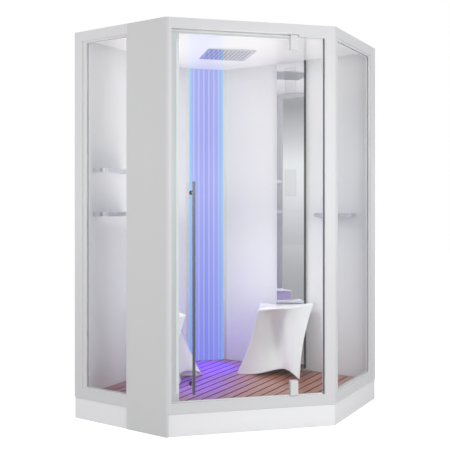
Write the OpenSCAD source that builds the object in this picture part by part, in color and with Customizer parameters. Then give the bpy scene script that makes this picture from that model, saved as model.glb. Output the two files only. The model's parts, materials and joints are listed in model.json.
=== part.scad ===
// Five-sided corner shower cabin with a pivot door, shelves, stools and a service column.
// Origin: middle of the square footprint at floor level. +Z up, walls at -X and +Y.

/* [Cabin] */
// Length of each wall side
cabin_w = 1300; // [1200:10:1400]
// Length of the two glazed returns beside the door
return_w = 640; // [600:5:680]
// Overall height
cabin_h = 2180; // [2050:10:2300]

/* [Frame] */
// Depth of the frame profiles, square to each face
frame_d = 40; // [36:1:46]
// Height of the bottom rails
rail_h = 56; // [40:1:70]
// Height of the top beams
beam_h = 56; // [46:1:70]
// Wall of the hollow profiles
profile_t = 2.5; // [1.5:0.1:4]
// Face width of the post at the left wall
wall_post_w = 56; // [44:1:70]
// Face width of the post at the back wall
back_post_w = 74; // [60:1:90]
// Face width of the corner post on the door side
corner_post_w = 59; // [50:1:70]
// Face width of the corner post on the right return
corner_return_w = 36; // [30:1:44]
// Face width of the slim post at the service column
slim_post_w = 16; // [12:1:20]

/* [Glass] */
// Thickness of the fixed panes and the door
glass_t = 8; // [6:1:10]
// Setback of the glass from the frame's outer face
glass_setback = 14; // [11:0.5:16]
// Width of the bead between left post and glass
bead_w = 28; // [20:1:36]
// Width of the slim beads at the other pane edges
slim_bead_w = 10; // [6:1:14]
// Thickness of the bead strips
bead_t = 8; // [5:1:9]

/* [Tray] */
// Height of the tray rim above the floor
rim_h = 118; // [110:1:130]
// Thickness of the tray moulding
tray_t = 8; // [6:0.5:10]
// Depth of the basin below the rim
basin_d = 30; // [26:1:34]
// Thickness of the plinth panels
plinth_t = 6; // [4:0.5:8]
// Setback of the plinth from the frame's outer face
plinth_setback = 4; // [3:0.5:6]
// Height of the square tubes under the tray
tube_h = 30; // [25:1:34]
// Width of the tubes under the tray
tube_w = 40; // [34:1:44]
// Wall of the tubes under the tray
tube_t = 2; // [1.5:0.1:3]
// Radius of the levelling feet
foot_r = 20; // [16:1:24]

/* [Drain] */
// Place of the drain to the right of the middle
drain_x = 180; // [120:5:230]
// Place of the drain in front of the middle
drain_y = -180; // [-230:5:-120]
// Radius of the drain hole
drain_r = 45; // [38:1:52]
// Outer radius of the waste pipe
waste_r = 20; // [16:1:22]

/* [Duckboard] */
// Centre distance of the slats
slat_pitch = 60; // [50:1:70]
// Gap between the slats
slat_gap = 8; // [5:1:12]
// Thickness of the slats
slat_t = 20; // [16:1:24]
// Clearance round the duckboard
board_gap = 2; // [1.5:0.5:5]
// Width of the battens
batten_w = 40; // [30:1:50]

/* [Walls] */
// Thickness of the wall and ceiling sheets
sheet_t = 4; // [3:0.5:6]
// Width of the studs behind the wall sheets
stud_w = 40; // [30:1:50]
// Drop of the ceiling below the cabin's top
ceiling_drop = 32; // [28:1:40]
// Thickness of the ceiling sheet
ceiling_t = 6; // [4:0.5:8]

/* [Light column] */
// Length that the light column cuts off each wall
led_cut = 205; // [180:1:230]
// Number of flutes in the diffuser
flute_n = 7; // [5:1:9]
// Width of one flute
flute_w = 35; // [30:0.5:38]
// Rise of a flute's crown
flute_rise = 1.4; // [0.8:0.1:2]
// Depth of the light box behind the diffuser
led_box_d = 32; // [25:1:40]

/* [Shower panel] */
// Left edge of the steel panel
panel_x = 0; // [-40:5:40]
// Width of the steel panel
panel_w = 200; // [180:5:220]
// Depth of the steel panel off the wall
panel_d = 25; // [22:0.5:30]
// Thickness of the steel sheet
panel_t = 1.5; // [1:0.1:2]
// Height of the panel's lower end
panel_z = 142; // [138:1:160]
// Height of the middle of the body jets
jet_z = 1351; // [1200:1:1500]
// Distance of the neck jets' middle below the ceiling
neck_jet_drop = 126; // [110:1:200]
// Centre distance of the jet nozzles
jet_pitch = 18.2; // [15:0.1:20]
// Jet nozzles across
jet_cols = 5; // [3:1:7]
// Rows of jet nozzles
jet_rows = 10; // [6:1:11]
// Radius of a jet nozzle
jet_r = 3; // [2:0.25:4]

/* [Rain head] */
// Side of the rain head
rain_w = 300; // [250:5:320]
// Place of its centre across the cabin
rain_x = -137; // [-160:1:-110]
// Place of its centre along the cabin
rain_y = 169; // [140:1:200]
// Drop of the head below the ceiling
rain_drop = 6; // [4:0.5:10]
// Centre distance of the rain nozzles
rain_pitch = 24; // [20:1:28]
// Rain nozzles along each side
rain_n = 11; // [7:2:11]

/* [Shelves] */
// Length of a shelf
shelf_w = 250; // [220:5:300]
// Depth of a shelf
shelf_d = 93; // [80:1:110]
// Height of the shelf rail
shelf_h = 25; // [18:1:30]
// Thickness of the shelf rail
shelf_rail_t = 4; // [3:0.5:6]
// Outer corner radius of the rail
shelf_r = 22; // [15:1:30]
// Thickness of the shelf plate
shelf_plate_t = 8; // [6:1:12]
// Distance of the left shelves from the left return
shelf_left_y = 107; // [90:1:160]
// Distance of the back shelf's right end from the right return
shelf_back_x = 109; // [90:1:140]
// Middle height of the upper left shelf
shelf_hi_z = 1404; // [1350:1:1500]
// Middle height of the lower left shelf
shelf_lo_z = 1152; // [1100:1:1200]
// Middle height of the back shelf
shelf_back_z = 1142; // [1100:1:1200]

/* [Service column] */
// Width of the column on the left return
column_w = 260; // [250:5:290]
// Depth of the column
column_d = 110; // [100:1:115]
// Width that the column wraps onto the door side
column_wrap = 12; // [8:1:14]
// Thickness of the column's sheet
column_t = 3; // [2:0.5:4]
// Height of the middle touch icon
icon_z = 1490; // [1400:10:1560]
// Centre distance of the touch icons
icon_pitch = 45; // [35:1:60]
// Radius of a touch icon
icon_r = 8; // [6:0.5:10]

/* [Door] */
// Distance of the pivot axis from the column corner
pivot_s = 700; // [660:5:740]
// Gap between glass and corner post
door_gap = 4; // [3:0.5:6]
// Gap under the door glass
door_lift = 6; // [5:0.5:10]
// Gap over the door glass
door_top_gap = 12; // [8:0.5:14]
// Width of a pivot clamp
clamp_w = 42; // [38:1:50]
// Height of a pivot clamp
clamp_h = 80; // [60:1:90]
// Thickness of each clamp plate
clamp_t = 10; // [7:0.5:11]
// Radius of the pivot pins
pin_r = 6; // [4:0.5:8]
// Radial clearance of the pins in the clamps
pin_fit = 0.06; // [0.02:0.01:0.1]
// Depth of the pins in the clamps
pin_l = 32; // [24:1:40]

/* [Handle] */
// Distance of the handle from the column corner
handle_s = 136; // [110:1:160]
// Radius of the handle bar
handle_r = 8; // [6:0.5:12]
// Stand-off of the bar's axis from the glass
handle_reach = 64; // [55:1:75]
// Lower end of the bar
handle_lo = 229; // [200:1:300]
// Length of the bar
handle_l = 1097; // [900:1:1200]
// Distance of the upper stand-off from the bar's upper end
standoff_hi = 57; // [40:1:80]
// Distance of the lower stand-off from the bar's lower end
standoff_lo = 42; // [30:1:80]
// Radius of the rosettes
rosette_r = 12; // [10:0.5:15]

/* [Stools] */
// Height of the highest seat corner above the duckboard
seat_h = 449; // [420:1:460]
// Wall of the stool shell
stool_t = 9; // [7:0.5:12]
// Dip of the seat between its corners
seat_dip = 12; // [8:1:30]
// Inward bow of the stool's ridges at mid height
ridge_bow = 20; // [5:1:30]
// Inward bow of the stool's front side at mid height
front_bow = 34; // [10:1:45]
// Inward bow of the front side at the floor
foot_bow = 58; // [20:1:65]
// Inward bow of the right side at mid height
right_bow = 10; // [4:1:20]
// Rise of the arches at the stool's foot
arch_h = 45; // [15:1:55]

/* [Hidden] */
$fn = 48;

// Colours
white = [0.93, 0.93, 0.94];
satin = [0.86, 0.86, 0.87];
clear = [0.80, 0.88, 0.88, 0.35];
steel = [0.70, 0.71, 0.73];
chrome = [0.78, 0.78, 0.80];
teak = [0.62, 0.40, 0.30];
dark_seal = [0.35, 0.36, 0.38];
brass = [0.76, 0.62, 0.32];
zinc = [0.62, 0.64, 0.66];
glow = [0.62, 0.63, 0.98];

// Places that follow from the sizes above
half = cabin_w / 2;
root2 = sqrt(2);
corner_x = return_w - half;
column_from = return_w - column_w;
front_l = (cabin_w - return_w) * root2;
rail_z = rim_h;
rail_top = rim_h + rail_h;
beam_z = cabin_h - beam_h;
ceiling_z = cabin_h - ceiling_drop;
neck_jet_z = ceiling_z - neck_jet_drop;
wall_in = half - frame_d;
floor_z = rim_h - basin_d;
under_z = floor_z - tray_t;
tube_z = under_z - tube_h;
column_x = column_from - half;
column_y = column_d - half;
glass_back = glass_setback + glass_t;
seat_gap = 0.3;
through = 20;

// The plan of the cabin, with its glazed sides moved in by g and its wall sides by gw
function plan_points(g, gw) = [
  [-half + gw, half - gw],
  [-half + gw, -half + g],
  [return_w - g * root2 - half + g, -half + g],
  [half - g, half - g - return_w + g * root2],
  [half - g, half - gw]
];
module plan(g, gw) { polygon(plan_points(g, gw)); }

// A point of the door side: s along it from the column corner, d inwards
function front_point(s, d) = [corner_x + (s - d) / root2, -half + (s + d) / root2];
// The outer corner of the post at the right end of the door, moved in by g
function right_corner(g) = [half - g, half - g - return_w + g * root2];

module on_front() { translate([corner_x, -half, 0]) rotate([0, 0, 45]) children(); }
module on_light() { translate([-wall_in, wall_in - led_cut, 0]) rotate([0, 0, 45]) children(); }
module lift(z) { translate([0, 0, z]) children(); }

// A hollow bar along x
module tube_x(l, d, h, t) {
  difference() {
    cube([l, d, h]);
    translate([-1, t, t]) cube([l + 2, d - 2 * t, h - 2 * t]);
  }
}
// A hollow bar along y
module tube_y(l, d, h, t) {
  difference() {
    cube([d, l, h]);
    translate([t, -1, t]) cube([d - 2 * t, l + 2, h - 2 * t]);
  }
}
// A round bar from a to b
module rod(a, b, r) {
  v = b - a;
  l = norm(v);
  translate(a) rotate([0, acos(v[2] / l), atan2(v[1], v[0])]) cylinder(r = r, h = l);
}
// A pipe through the given points, with a round elbow at each bend
module pipe(points, r) {
  for (i = [0 : len(points) - 2]) rod(points[i], points[i + 1], r);
  for (i = [1 : len(points) - 2]) translate(points[i]) sphere(r = r + elbow_t);
}

// Room round the column: g is the clearance
module column_clear(g) {
  translate([column_x - g, -half - through])
    square([front_point(column_wrap, frame_d)[0] + g - column_x + g, column_d + through + g]);
  on_front() translate([-through, -through]) square([through + column_wrap + g, through + frame_d]);
}
// The light column's cut across the back corner, moved in by g
module light_clear(g) {
  c = led_cut + g * root2;
  translate([-wall_in, wall_in]) polygon([[-half, 0], [0, -c], [c, 0], [0, half], [-half, half]]);
}

// Tray
module basin_plan(g) {
  difference() {
    plan(frame_d + 1 + g, frame_d + 1 + g);
    light_clear(1 + g);
    column_clear(1 + tray_t + g);
  }
}
module tray() {
  color(white) difference() {
    union() {
      lift(rim_h - tray_t) linear_extrude(tray_t) difference() {
        plan(plinth_setback + plinth_t, 2);
        column_clear(1);
      }
      lift(under_z) linear_extrude(basin_d + tray_t) basin_plan(-tray_t);
    }
    lift(floor_z) linear_extrude(basin_d + 1) basin_plan(0);
    translate([drain_x, drain_y, under_z - 1]) cylinder(r = drain_r, h = tray_t + 2);
  }
}

// Tubes under the tray, each cut a seat's gap short of the next
tube_in = 10;
tube_left_x = -half + tube_in;
tube_from = tube_left_x + tube_w + seat_gap;
tube_right_x = half - tube_in - tube_w;
front_tube_d = 12;
front_tube_s = column_wrap + 18;
right_tube_y = right_corner(0)[1] + 35;
// Where a tube across the cabin meets the front tube, for its side at y
function tube_end_x(y) = corner_x + (y + half) - (front_tube_d + tube_w + seat_gap) * root2;
module tray_frame() {
  color(zinc) lift(tube_z) {
    translate([tube_left_x, -half + tube_in, 0]) tube_y(cabin_w - 2 * tube_in, tube_w, tube_h, tube_t);
    translate([tube_from, half - tube_in - tube_w, 0])
      tube_x(half - tube_in - tube_from, tube_w, tube_h, tube_t);
    translate([tube_right_x, right_tube_y, 0])
      tube_y(half - tube_in - tube_w - seat_gap - right_tube_y, tube_w, tube_h, tube_t);
    translate([tube_from, -half + tube_in, 0]) tube_x(column_x - 5 - tube_from, tube_w, tube_h, tube_t);
    for (y = [column_y, -tube_w / 2])
      translate([tube_from, y, 0]) tube_x(tube_end_x(y) - tube_from, tube_w, tube_h, tube_t);
    on_front() translate([front_tube_s, front_tube_d, 0])
      tube_x(front_l - 10 - front_tube_s, tube_w, tube_h, tube_t);
  }
}

// Feet: pad, stem and the nut plate under the tube
foot_in = 70;
foot_row = tube_in + tube_w / 2;
front_foot_d = front_tube_d + tube_w / 2;
foot_places = [
  [-half + foot_row, -half + foot_in], [-half + foot_row, -60], [-half + foot_row, half - foot_in],
  [0, half - foot_row], [half - foot_row, half - foot_in], [half - foot_row, right_tube_y + foot_in],
  [column_x - foot_in, -half + foot_row], [0, 0],
  front_point(120, front_foot_d), front_point(front_l - 90, front_foot_d)
];
module levelling_feet() {
  color(dark_seal) for (p = foot_places) translate(p) {
    cylinder(r = foot_r, h = 10);
    lift(10) cylinder(r = 6, h = tube_z - 16);
    lift(tube_z - 6) cylinder(r = 14, h = 6);
  }
}

// Plinth panels, one on each glazed side
module plinth_panels() {
  a = plinth_setback;
  b = plinth_setback + plinth_t;
  color(white) linear_extrude(rim_h - 2) {
    translate([-half + 2, -half + a]) square([column_from - 2, plinth_t]);
    polygon([front_point(column_wrap, a), right_corner(a), right_corner(b), front_point(column_wrap, b)]);
    polygon([
      right_corner(a) + [0, seat_gap], [half - a, half], [half - b, half], right_corner(b) + [0, seat_gap]
    ]);
  }
}

// Drain: flange, body and the waste pipe to the back wall
waste_z = tube_z / 2;
waste_y = half - 20;
spigot_l = 40;
module drain_trap() {
  color(dark_seal) difference() {
    union() {
      translate([drain_x, drain_y, under_z - 4]) cylinder(r = drain_r + 12, h = 4);
      translate([drain_x, drain_y, 3]) cylinder(r = drain_r, h = under_z - 3);
      rod([drain_x, drain_y, waste_z], [drain_x, waste_y, waste_z], waste_r);
      rod([drain_x, waste_y - spigot_l - 6, waste_z], [drain_x, waste_y - spigot_l, waste_z], waste_r + 3);
    }
    translate([drain_x, drain_y, 6]) cylinder(r = drain_r - 4, h = under_z);
    rod([drain_x, drain_y, waste_z], [drain_x, half, waste_z], waste_r - 3);
  }
}
module drain_grate() {
  color(chrome) difference() {
    union() {
      translate([drain_x, drain_y, floor_z]) cylinder(r = drain_r + 8, h = 2);
      translate([drain_x, drain_y, under_z]) difference() {
        cylinder(r = drain_r - 0.5, h = tray_t);
        lift(-1) cylinder(r = drain_r - 3, h = tray_t + 2);
      }
    }
    for (x = [-2 : 2]) translate([drain_x + x * 14 - 3, drain_y - 24, floor_z - 1]) cube([6, 48, 4]);
  }
}

// Walls: a sheet on each wall side and the studs that carry it
module wall_back() {
  color(white) translate([-wall_in + led_cut, wall_in, rim_h])
    cube([2 * wall_in - led_cut, sheet_t, ceiling_z - rim_h]);
}
module wall_left() {
  color(white) translate([-wall_in - sheet_t, -wall_in, rim_h])
    cube([sheet_t, 2 * wall_in - led_cut, ceiling_z - rim_h]);
}
stud_d = frame_d - sheet_t;
stud_l = 2 * wall_in - led_cut;
stud_n = 4;
module stud_frame() {
  for (z = [0, ceiling_z - rim_h - stud_w]) lift(z) cube([stud_l, stud_d, stud_w]);
  for (i = [0 : stud_n - 1])
    translate([i * (stud_l - stud_w) / (stud_n - 1), 0, stud_w + seat_gap])
      cube([stud_w, stud_d, ceiling_z - rim_h - 2 * stud_w - 2 * seat_gap]);
}
module wall_studs() {
  color(zinc) {
    translate([-wall_in + led_cut, wall_in + sheet_t, rim_h]) stud_frame();
    mirror([1, 1, 0]) translate([-wall_in + led_cut, wall_in + sheet_t, rim_h]) stud_frame();
  }
}

// Ceiling with the rain head's cut-out, and the rails that stand on it at the walls
head_box_w = rain_w - 30;
module ceiling() {
  color(white) difference() {
    lift(ceiling_z) linear_extrude(ceiling_t) difference() {
      plan(frame_d, 0);
      column_clear(1);
      translate([rain_x, rain_y]) rotate(45) square(head_box_w + 1, center = true);
    }
    translate([jet_pipe_x, jet_pipe_y, ceiling_z - 1]) cylinder(r = pipe_r + 1, h = ceiling_t + 2);
  }
}
roof_z = ceiling_z + ceiling_t;
fixing_r = 3;
fixing_pitch = 800;
fixing_z = (roof_z + cabin_h) / 2;
module roof_rails() {
  h = cabin_h - roof_z;
  color(white) difference() {
    union() {
      translate([-half, wall_in, roof_z]) cube([half + wall_in, frame_d, h]);
      translate([-half, -wall_in, roof_z]) cube([frame_d, 2 * wall_in - seat_gap, h]);
    }
    for (x = [-1, 1]) {
      translate([x * fixing_pitch / 2, wall_in - 1, fixing_z])
        rotate([-90, 0, 0]) cylinder(r = fixing_r, h = frame_d + 2);
      translate([-half - 1, x * fixing_pitch / 2, fixing_z])
        rotate([0, 90, 0]) cylinder(r = fixing_r, h = frame_d + 2);
    }
  }
}

// Posts
post_l = cabin_h - rim_h;
module post_left() {
  color(satin) translate([-half, -half, rim_h]) linear_extrude(post_l) difference() {
    square([wall_post_w, frame_d]);
    translate([profile_t, profile_t])
      square([wall_post_w - 2 * profile_t, frame_d - 2 * profile_t]);
  }
}
// Slim post beside the column, with the lip that the door closes on
lip_from = glass_back + 3;
lip_w = 44;
slim_s = column_wrap + slim_post_w;
module post_column() {
  color(satin) on_front() lift(rail_top) linear_extrude(beam_z - rail_top) difference() {
    union() {
      translate([column_wrap, 0]) square([slim_post_w, frame_d]);
      translate([column_wrap, lip_from]) square([slim_post_w + lip_w, frame_d - lip_from]);
    }
    translate([column_wrap + profile_t, profile_t])
      square([slim_post_w - 2 * profile_t, frame_d - 2 * profile_t]);
    translate([slim_s + profile_t, lip_from + profile_t])
      square([lip_w - 2 * profile_t, frame_d - lip_from - 2 * profile_t]);
  }
}
door_end = front_l - corner_post_w;
function corner_post_points(t) = [
  front_point(door_end + t, t), right_corner(t),
  [half - t, right_corner(0)[1] + corner_return_w - t],
  [wall_in + t, right_corner(0)[1] + corner_return_w - t],
  [wall_in + t, wall_in + t - return_w + (frame_d - t) * root2],
  front_point(door_end + t, frame_d - t)
];
module post_corner() {
  color(satin) lift(rim_h) linear_extrude(post_l) difference() {
    polygon(corner_post_points(0));
    polygon(corner_post_points(profile_t));
  }
}
module post_right() {
  color(satin) translate([wall_in, half - back_post_w, rim_h]) linear_extrude(post_l) difference() {
    square([frame_d, back_post_w]);
    translate([profile_t, profile_t])
      square([frame_d - 2 * profile_t, back_post_w - 2 * profile_t]);
  }
}

// Bottom rails and top beams
left_x0 = -half + wall_post_w;
left_l = column_x - left_x0;
front_s0 = column_wrap;
front_bar_l = door_end - front_s0;
right_y0 = right_corner(0)[1] + corner_return_w;
right_l = half - back_post_w - right_y0;
module rail_left() {
  color(satin) translate([left_x0, -half, rail_z]) tube_x(left_l, frame_d, rail_h, profile_t);
}
module rail_front() {
  color(satin) on_front() translate([front_s0, 0, rail_z]) tube_x(front_bar_l, frame_d, rail_h, profile_t);
}
module rail_right() {
  color(satin) translate([wall_in, right_y0, rail_z]) tube_y(right_l, frame_d, rail_h, profile_t);
}
module beam_left() {
  color(satin) translate([left_x0, -half, beam_z]) tube_x(left_l, frame_d, beam_h, profile_t);
}
module beam_right() {
  color(satin) translate([wall_in, right_y0, beam_z]) tube_y(right_l, frame_d, beam_h, profile_t);
}
// The door's stop strips hang under the front beam: inside on its long part, outside on its short one
stop_h = 20;
module beam_front() {
  color(satin) on_front() {
    translate([front_s0, 0, beam_z]) tube_x(front_bar_l, frame_d, beam_h, profile_t);
    translate([slim_s + lip_w, lip_from, beam_z - stop_h])
      cube([pivot_s - clamp_w / 2 - 4 - slim_s - lip_w, frame_d - lip_from, stop_h]);
    translate([pivot_s + clamp_w / 2 + 4, 2, beam_z - door_top_gap])
      cube([door_end - pivot_s - clamp_w / 2 - 4, glass_setback - 3, door_top_gap]);
  }
}

// Fixed panes
pane_h = beam_z - rail_top;
module glass_left() {
  color(clear) translate([left_x0 + 4, -half + glass_setback, rail_top])
    cube([left_l - 8, glass_t, pane_h]);
}
module glass_right() {
  color(clear) translate([half - glass_back, right_y0 + 4, rail_top])
    cube([glass_t, right_l - 8, pane_h]);
}
// Bead strips in front of and behind a pane, drawn along x from the pane's left end
module bead_pairs(l, first_w) {
  for (y = [glass_setback - bead_t, glass_back]) {
    translate([0, y, 0]) cube([first_w, bead_t, pane_h]);
    translate([l - slim_bead_w, y, 0]) cube([slim_bead_w, bead_t, pane_h]);
    translate([first_w, y, 0]) cube([l - first_w - slim_bead_w, bead_t, slim_bead_w]);
    translate([first_w, y, pane_h - slim_bead_w]) cube([l - first_w - slim_bead_w, bead_t, slim_bead_w]);
  }
}
module beads_left() {
  color(satin) translate([left_x0, -half, rail_top]) bead_pairs(left_l, bead_w);
}
module beads_right() {
  color(satin) translate([half, right_y0, rail_top]) rotate([0, 0, 90]) bead_pairs(right_l, slim_bead_w);
}

// Service column: a cover that wraps the corner, and the chassis behind it
cover_return = 35;
wrap_out = front_point(column_wrap, 0);
wrap_in = front_point(column_wrap, column_t);
fold_x = corner_x - column_t * (root2 - 1);
chassis_end = front_point(column_wrap, frame_d);
module column_cover() {
  color(white) difference() {
    linear_extrude(cabin_h) polygon([
      [column_x, -half], [corner_x, -half], wrap_out, wrap_in, [fold_x, -half + column_t],
      [column_x + column_t, -half + column_t], [column_x + column_t, -half + cover_return],
      [column_x, -half + cover_return]
    ]);
    icon_places() cylinder(r = icon_r, h = 1, center = true);
  }
}
module column_chassis() {
  color(satin) difference() {
    lift(tube_z) linear_extrude(roof_z - tube_z) polygon([
      [column_x, -half + cover_return], [column_x, column_y], [chassis_end[0], column_y], chassis_end,
      [chassis_end[0] - column_t, chassis_end[1]], [chassis_end[0] - column_t, column_y - column_t],
      [column_x + column_t, column_y - column_t], [column_x + column_t, -half + cover_return]
    ]);
    rod([boiler_x, column_y - column_t - 1, steam_z], [boiler_x, column_y + 1, steam_z], steam_pipe_r);
  }
}
column_mid = (column_x + corner_x) / 2;
icon_n = 5;
icon_d = 0.5;
module icon_places() {
  for (i = [0 : icon_n - 1])
    translate([column_mid, -half, icon_z + (i - (icon_n - 1) / 2) * icon_pitch])
      rotate([90, 0, 0]) children();
}
module touch_icons() { color("gainsboro") icon_places() lift(-icon_d) cylinder(r = icon_r, h = icon_d); }

// Inside the column
inside_y = -half + column_t;
rear_y = column_y - column_t;
// Control board on spacers, with its terminal block and processor cover
board_w = 90;
board_l = 260;
board_t = 1.6;
spacer_l = 8;
spacer_r = 3;
spacer_in = 8;
terminals = [50, 18, 60];
processor = [40, 12, 40];
module control_board() {
  front = spacer_l + board_t;
  color("seagreen") translate([column_mid - board_w / 2, inside_y, icon_z - board_l / 2]) {
    translate([0, spacer_l, 0]) cube([board_w, board_t, board_l]);
    for (x = [spacer_in, board_w - spacer_in], z = [spacer_in, board_l - spacer_in])
      translate([x, 0, z]) rotate([-90, 0, 0]) cylinder(r = spacer_r, h = spacer_l);
    translate([(board_w - terminals[0]) / 2, front, board_l / 8]) cube(terminals);
    translate([(board_w - processor[0]) / 2, front, board_l * 0.6]) cube(processor);
  }
}
boiler_r = 42;
boiler_off = 55;
boiler_gap = 6;
boiler_lift = 20;
boiler_h = 300;
boiler_x = column_mid + boiler_off;
boiler_y = rear_y - boiler_r - boiler_gap;
boiler_z = rim_h + boiler_lift;
bracket_w = 40;
bracket_t = 20;
boiler_drain_r = 12;
boiler_drain_l = 30;
module steam_generator() {
  color(steel) {
    translate([boiler_x, boiler_y, boiler_z]) cylinder(r = boiler_r, h = boiler_h);
    for (z = [2 * bracket_t, boiler_h - 3 * bracket_t])
      translate([boiler_x - bracket_w / 2, boiler_y, boiler_z + z])
        cube([bracket_w, rear_y - boiler_y, bracket_t]);
    translate([boiler_x, boiler_y, boiler_z - boiler_drain_l])
      cylinder(r = boiler_drain_r, h = boiler_drain_l);
  }
}
steam_rise = 60;
steam_z = boiler_z + boiler_h + steam_rise;
steam_pipe_r = 8;
steam_rose_r = 30;
steam_rose_t = 8;
steam_slot = [4, steam_rose_t, 24];
steam_slot_pitch = 16;
module steam_outlet() {
  color(chrome) {
    pipe([[boiler_x, boiler_y, boiler_z + boiler_h], [boiler_x, boiler_y, steam_z],
      [boiler_x, column_y + 1, steam_z]], steam_pipe_r);
    difference() {
      translate([boiler_x, column_y, steam_z])
        rotate([-90, 0, 0]) cylinder(r = steam_rose_r, h = steam_rose_t);
      for (i = [-1 : 1])
        translate([boiler_x + i * steam_slot_pitch, column_y + 3 + steam_rose_t / 2, steam_z])
          cube(steam_slot, center = true);
    }
  }
}
pipe_r = 7;
elbow_t = 2;
cold_off = 60;
hot_off = 20;
cold_x = column_mid - cold_off;
hot_x = column_mid - hot_off;
valve_z = 1000;
valve_w = 130;
valve_h = 46;
valve_d = 50;
valve_end = 45;
knob_r = 19;
knob_l = 40;
valve_y = rear_y - valve_d / 2;
module mixing_valve() {
  color(brass) {
    translate([cold_x - valve_end, rear_y - valve_d, valve_z]) cube([valve_w, valve_d, valve_h]);
    translate([cold_x - valve_end + valve_w, valve_y, valve_z + valve_h / 2])
      rotate([0, 90, 0]) cylinder(r = knob_r, h = knob_l);
  }
}
solenoid_h = 50;
solenoid_r = 12;
solenoid_neck = 10;
coil = [28, 30, 26];
coil_y = 38;
coil_z = 8;
outlet_z = valve_z + valve_h + solenoid_h;
module solenoid_valves() {
  color(dark_seal) for (x = [cold_x, hot_x]) translate([x, valve_y, valve_z + valve_h]) {
    cylinder(r = solenoid_r, h = solenoid_h - solenoid_neck);
    lift(solenoid_h - solenoid_neck) cylinder(r = pipe_r + 2 * elbow_t, h = solenoid_neck);
    translate([-coil[0] / 2, -coil_y, coil_z]) cube(coil);
  }
}
inlet_z = tube_z / 2;
inlet_r = 10.4;
inlet_end = 20;
stub_l = 20;
feed_out = 20;
feed_pitch = 40;
cold_y = column_y + feed_out;
hot_y = cold_y + feed_pitch;
module inlet_pipe(x, y) {
  end_x = -half + inlet_end;
  rod([end_x, y, inlet_z], [end_x + stub_l, y, inlet_z], inlet_r);
  pipe([
    [end_x + stub_l, y, inlet_z], [x, y, inlet_z], [x, valve_y, inlet_z], [x, valve_y, valve_z]
  ], pipe_r);
}
module inlet_pipes() {
  color(brass) {
    inlet_pipe(cold_x, cold_y);
    inlet_pipe(hot_x, hot_y);
  }
}
// Both feeds run over the ceiling, the rain head's behind the jets'
run_z = roof_z + pipe_r + elbow_t + seat_gap;
jet_reach = 240;
rain_turn_y = hot_y;
jet_turn_y = cold_y;
jet_bend_x = corner_x + feed_pitch;
jet_bend_y = column_y + jet_reach;
module rain_pipe() {
  color("silver") pipe([
    [cold_x, valve_y, outlet_z], [cold_x, valve_y, run_z], [cold_x, rain_turn_y, run_z],
    [rain_x, rain_turn_y, run_z], [rain_x, rain_y, run_z], [rain_x, rain_y, ceiling_z + head_box_h]
  ], pipe_r);
}
jet_pipe_x = panel_x + panel_w / 2;
jet_pipe_y = wall_in - pipe_r - elbow_t - seat_gap;
chamber_front = wall_in - panel_d + panel_t;
chamber_t = jet_pipe_y - pipe_r - elbow_t - chamber_front;
module jet_pipe() {
  color("silver") {
    pipe([
      [hot_x, valve_y, outlet_z], [hot_x, valve_y, run_z], [hot_x, jet_turn_y, run_z],
      [jet_bend_x, jet_turn_y, run_z], [jet_bend_x, jet_bend_y, run_z], [jet_pipe_x, jet_bend_y, run_z],
      [jet_pipe_x, jet_pipe_y, run_z], [jet_pipe_x, jet_pipe_y, jet_z]
    ], pipe_r);
    translate([jet_pipe_x, jet_pipe_y, jet_z]) sphere(r = pipe_r + elbow_t);
    for (z = [jet_z, neck_jet_z])
      rod([jet_pipe_x, jet_pipe_y, z], [jet_pipe_x, chamber_front + chamber_t, z], pipe_r - 2);
  }
}
gland_y = column_y + 100;
gland_r = 5;
gland_l = 32;
module cable_gland() {
  color(dark_seal) difference() {
    union() {
      translate([tube_left_x + 10, gland_y - 15, inlet_z - 15]) cube([4, 30, tube_z - inlet_z + 15]);
      rod([tube_left_x, gland_y, inlet_z], [tube_left_x + gland_l, gland_y, inlet_z], 9);
      rod([tube_left_x + 4, gland_y, inlet_z], [tube_left_x + 10, gland_y, inlet_z], 13);
    }
    rod([tube_left_x - 1, gland_y, inlet_z], [tube_left_x + gland_l + 1, gland_y, inlet_z], gland_r);
  }
}

// Light column across the back corner
led_face = led_cut * root2;
flutes_l = flute_n * flute_w;
trim_w = (led_face - flutes_l) / 2;
led_base_t = 3;
flute_r = (flute_w * flute_w / 4 + flute_rise * flute_rise) / (2 * flute_rise);
led_h = ceiling_z - rim_h;
module led_diffuser() {
  color(glow) on_light() lift(rim_h) linear_extrude(led_h) {
    translate([trim_w, 0]) square([flutes_l, led_base_t]);
    for (i = [0 : flute_n - 1]) intersection() {
      translate([trim_w + (i + 0.5) * flute_w, flute_r - flute_rise]) circle(r = flute_r, $fn = 240);
      translate([trim_w + i * flute_w, -flute_rise - 1]) square([flute_w, flute_rise + 1 + led_base_t / 2]);
    }
  }
}
module led_trims() {
  color(satin) on_light() lift(rim_h) {
    cube([trim_w, led_base_t, led_h]);
    translate([led_face - trim_w, 0, 0]) cube([trim_w, led_base_t, led_h]);
  }
}
led_box_in = trim_w - 8;
back_t = 1.5;
module led_backplate() {
  color(white) on_light() translate([led_box_in, led_base_t, rim_h]) linear_extrude(led_h) difference() {
    square([led_face - 2 * led_box_in, led_box_d]);
    translate([back_t, -1]) square([led_face - 2 * led_box_in - 2 * back_t, led_box_d - back_t + 1]);
  }
}
strip_w = 12;
strip_t = 2;
strip_in = 20;
strip_y = led_base_t + led_box_d - back_t - strip_t;
module led_strips() {
  color("lavender") on_light()
    for (i = [0 : flute_n - 1])
      translate([trim_w + (i + 0.5) * flute_w - strip_w / 2, strip_y, rim_h + strip_in])
        cube([strip_w, strip_t, led_h - 2 * strip_in]);
}
module led_driver() {
  color(zinc) translate([-wall_in + 20, wall_in - 60, roof_z]) {
    cube([150, 40, 18]);
    translate([-8, 8, 0]) cube([8, 24, 2]);
    translate([150, 8, 0]) cube([8, 24, 2]);
  }
}

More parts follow.
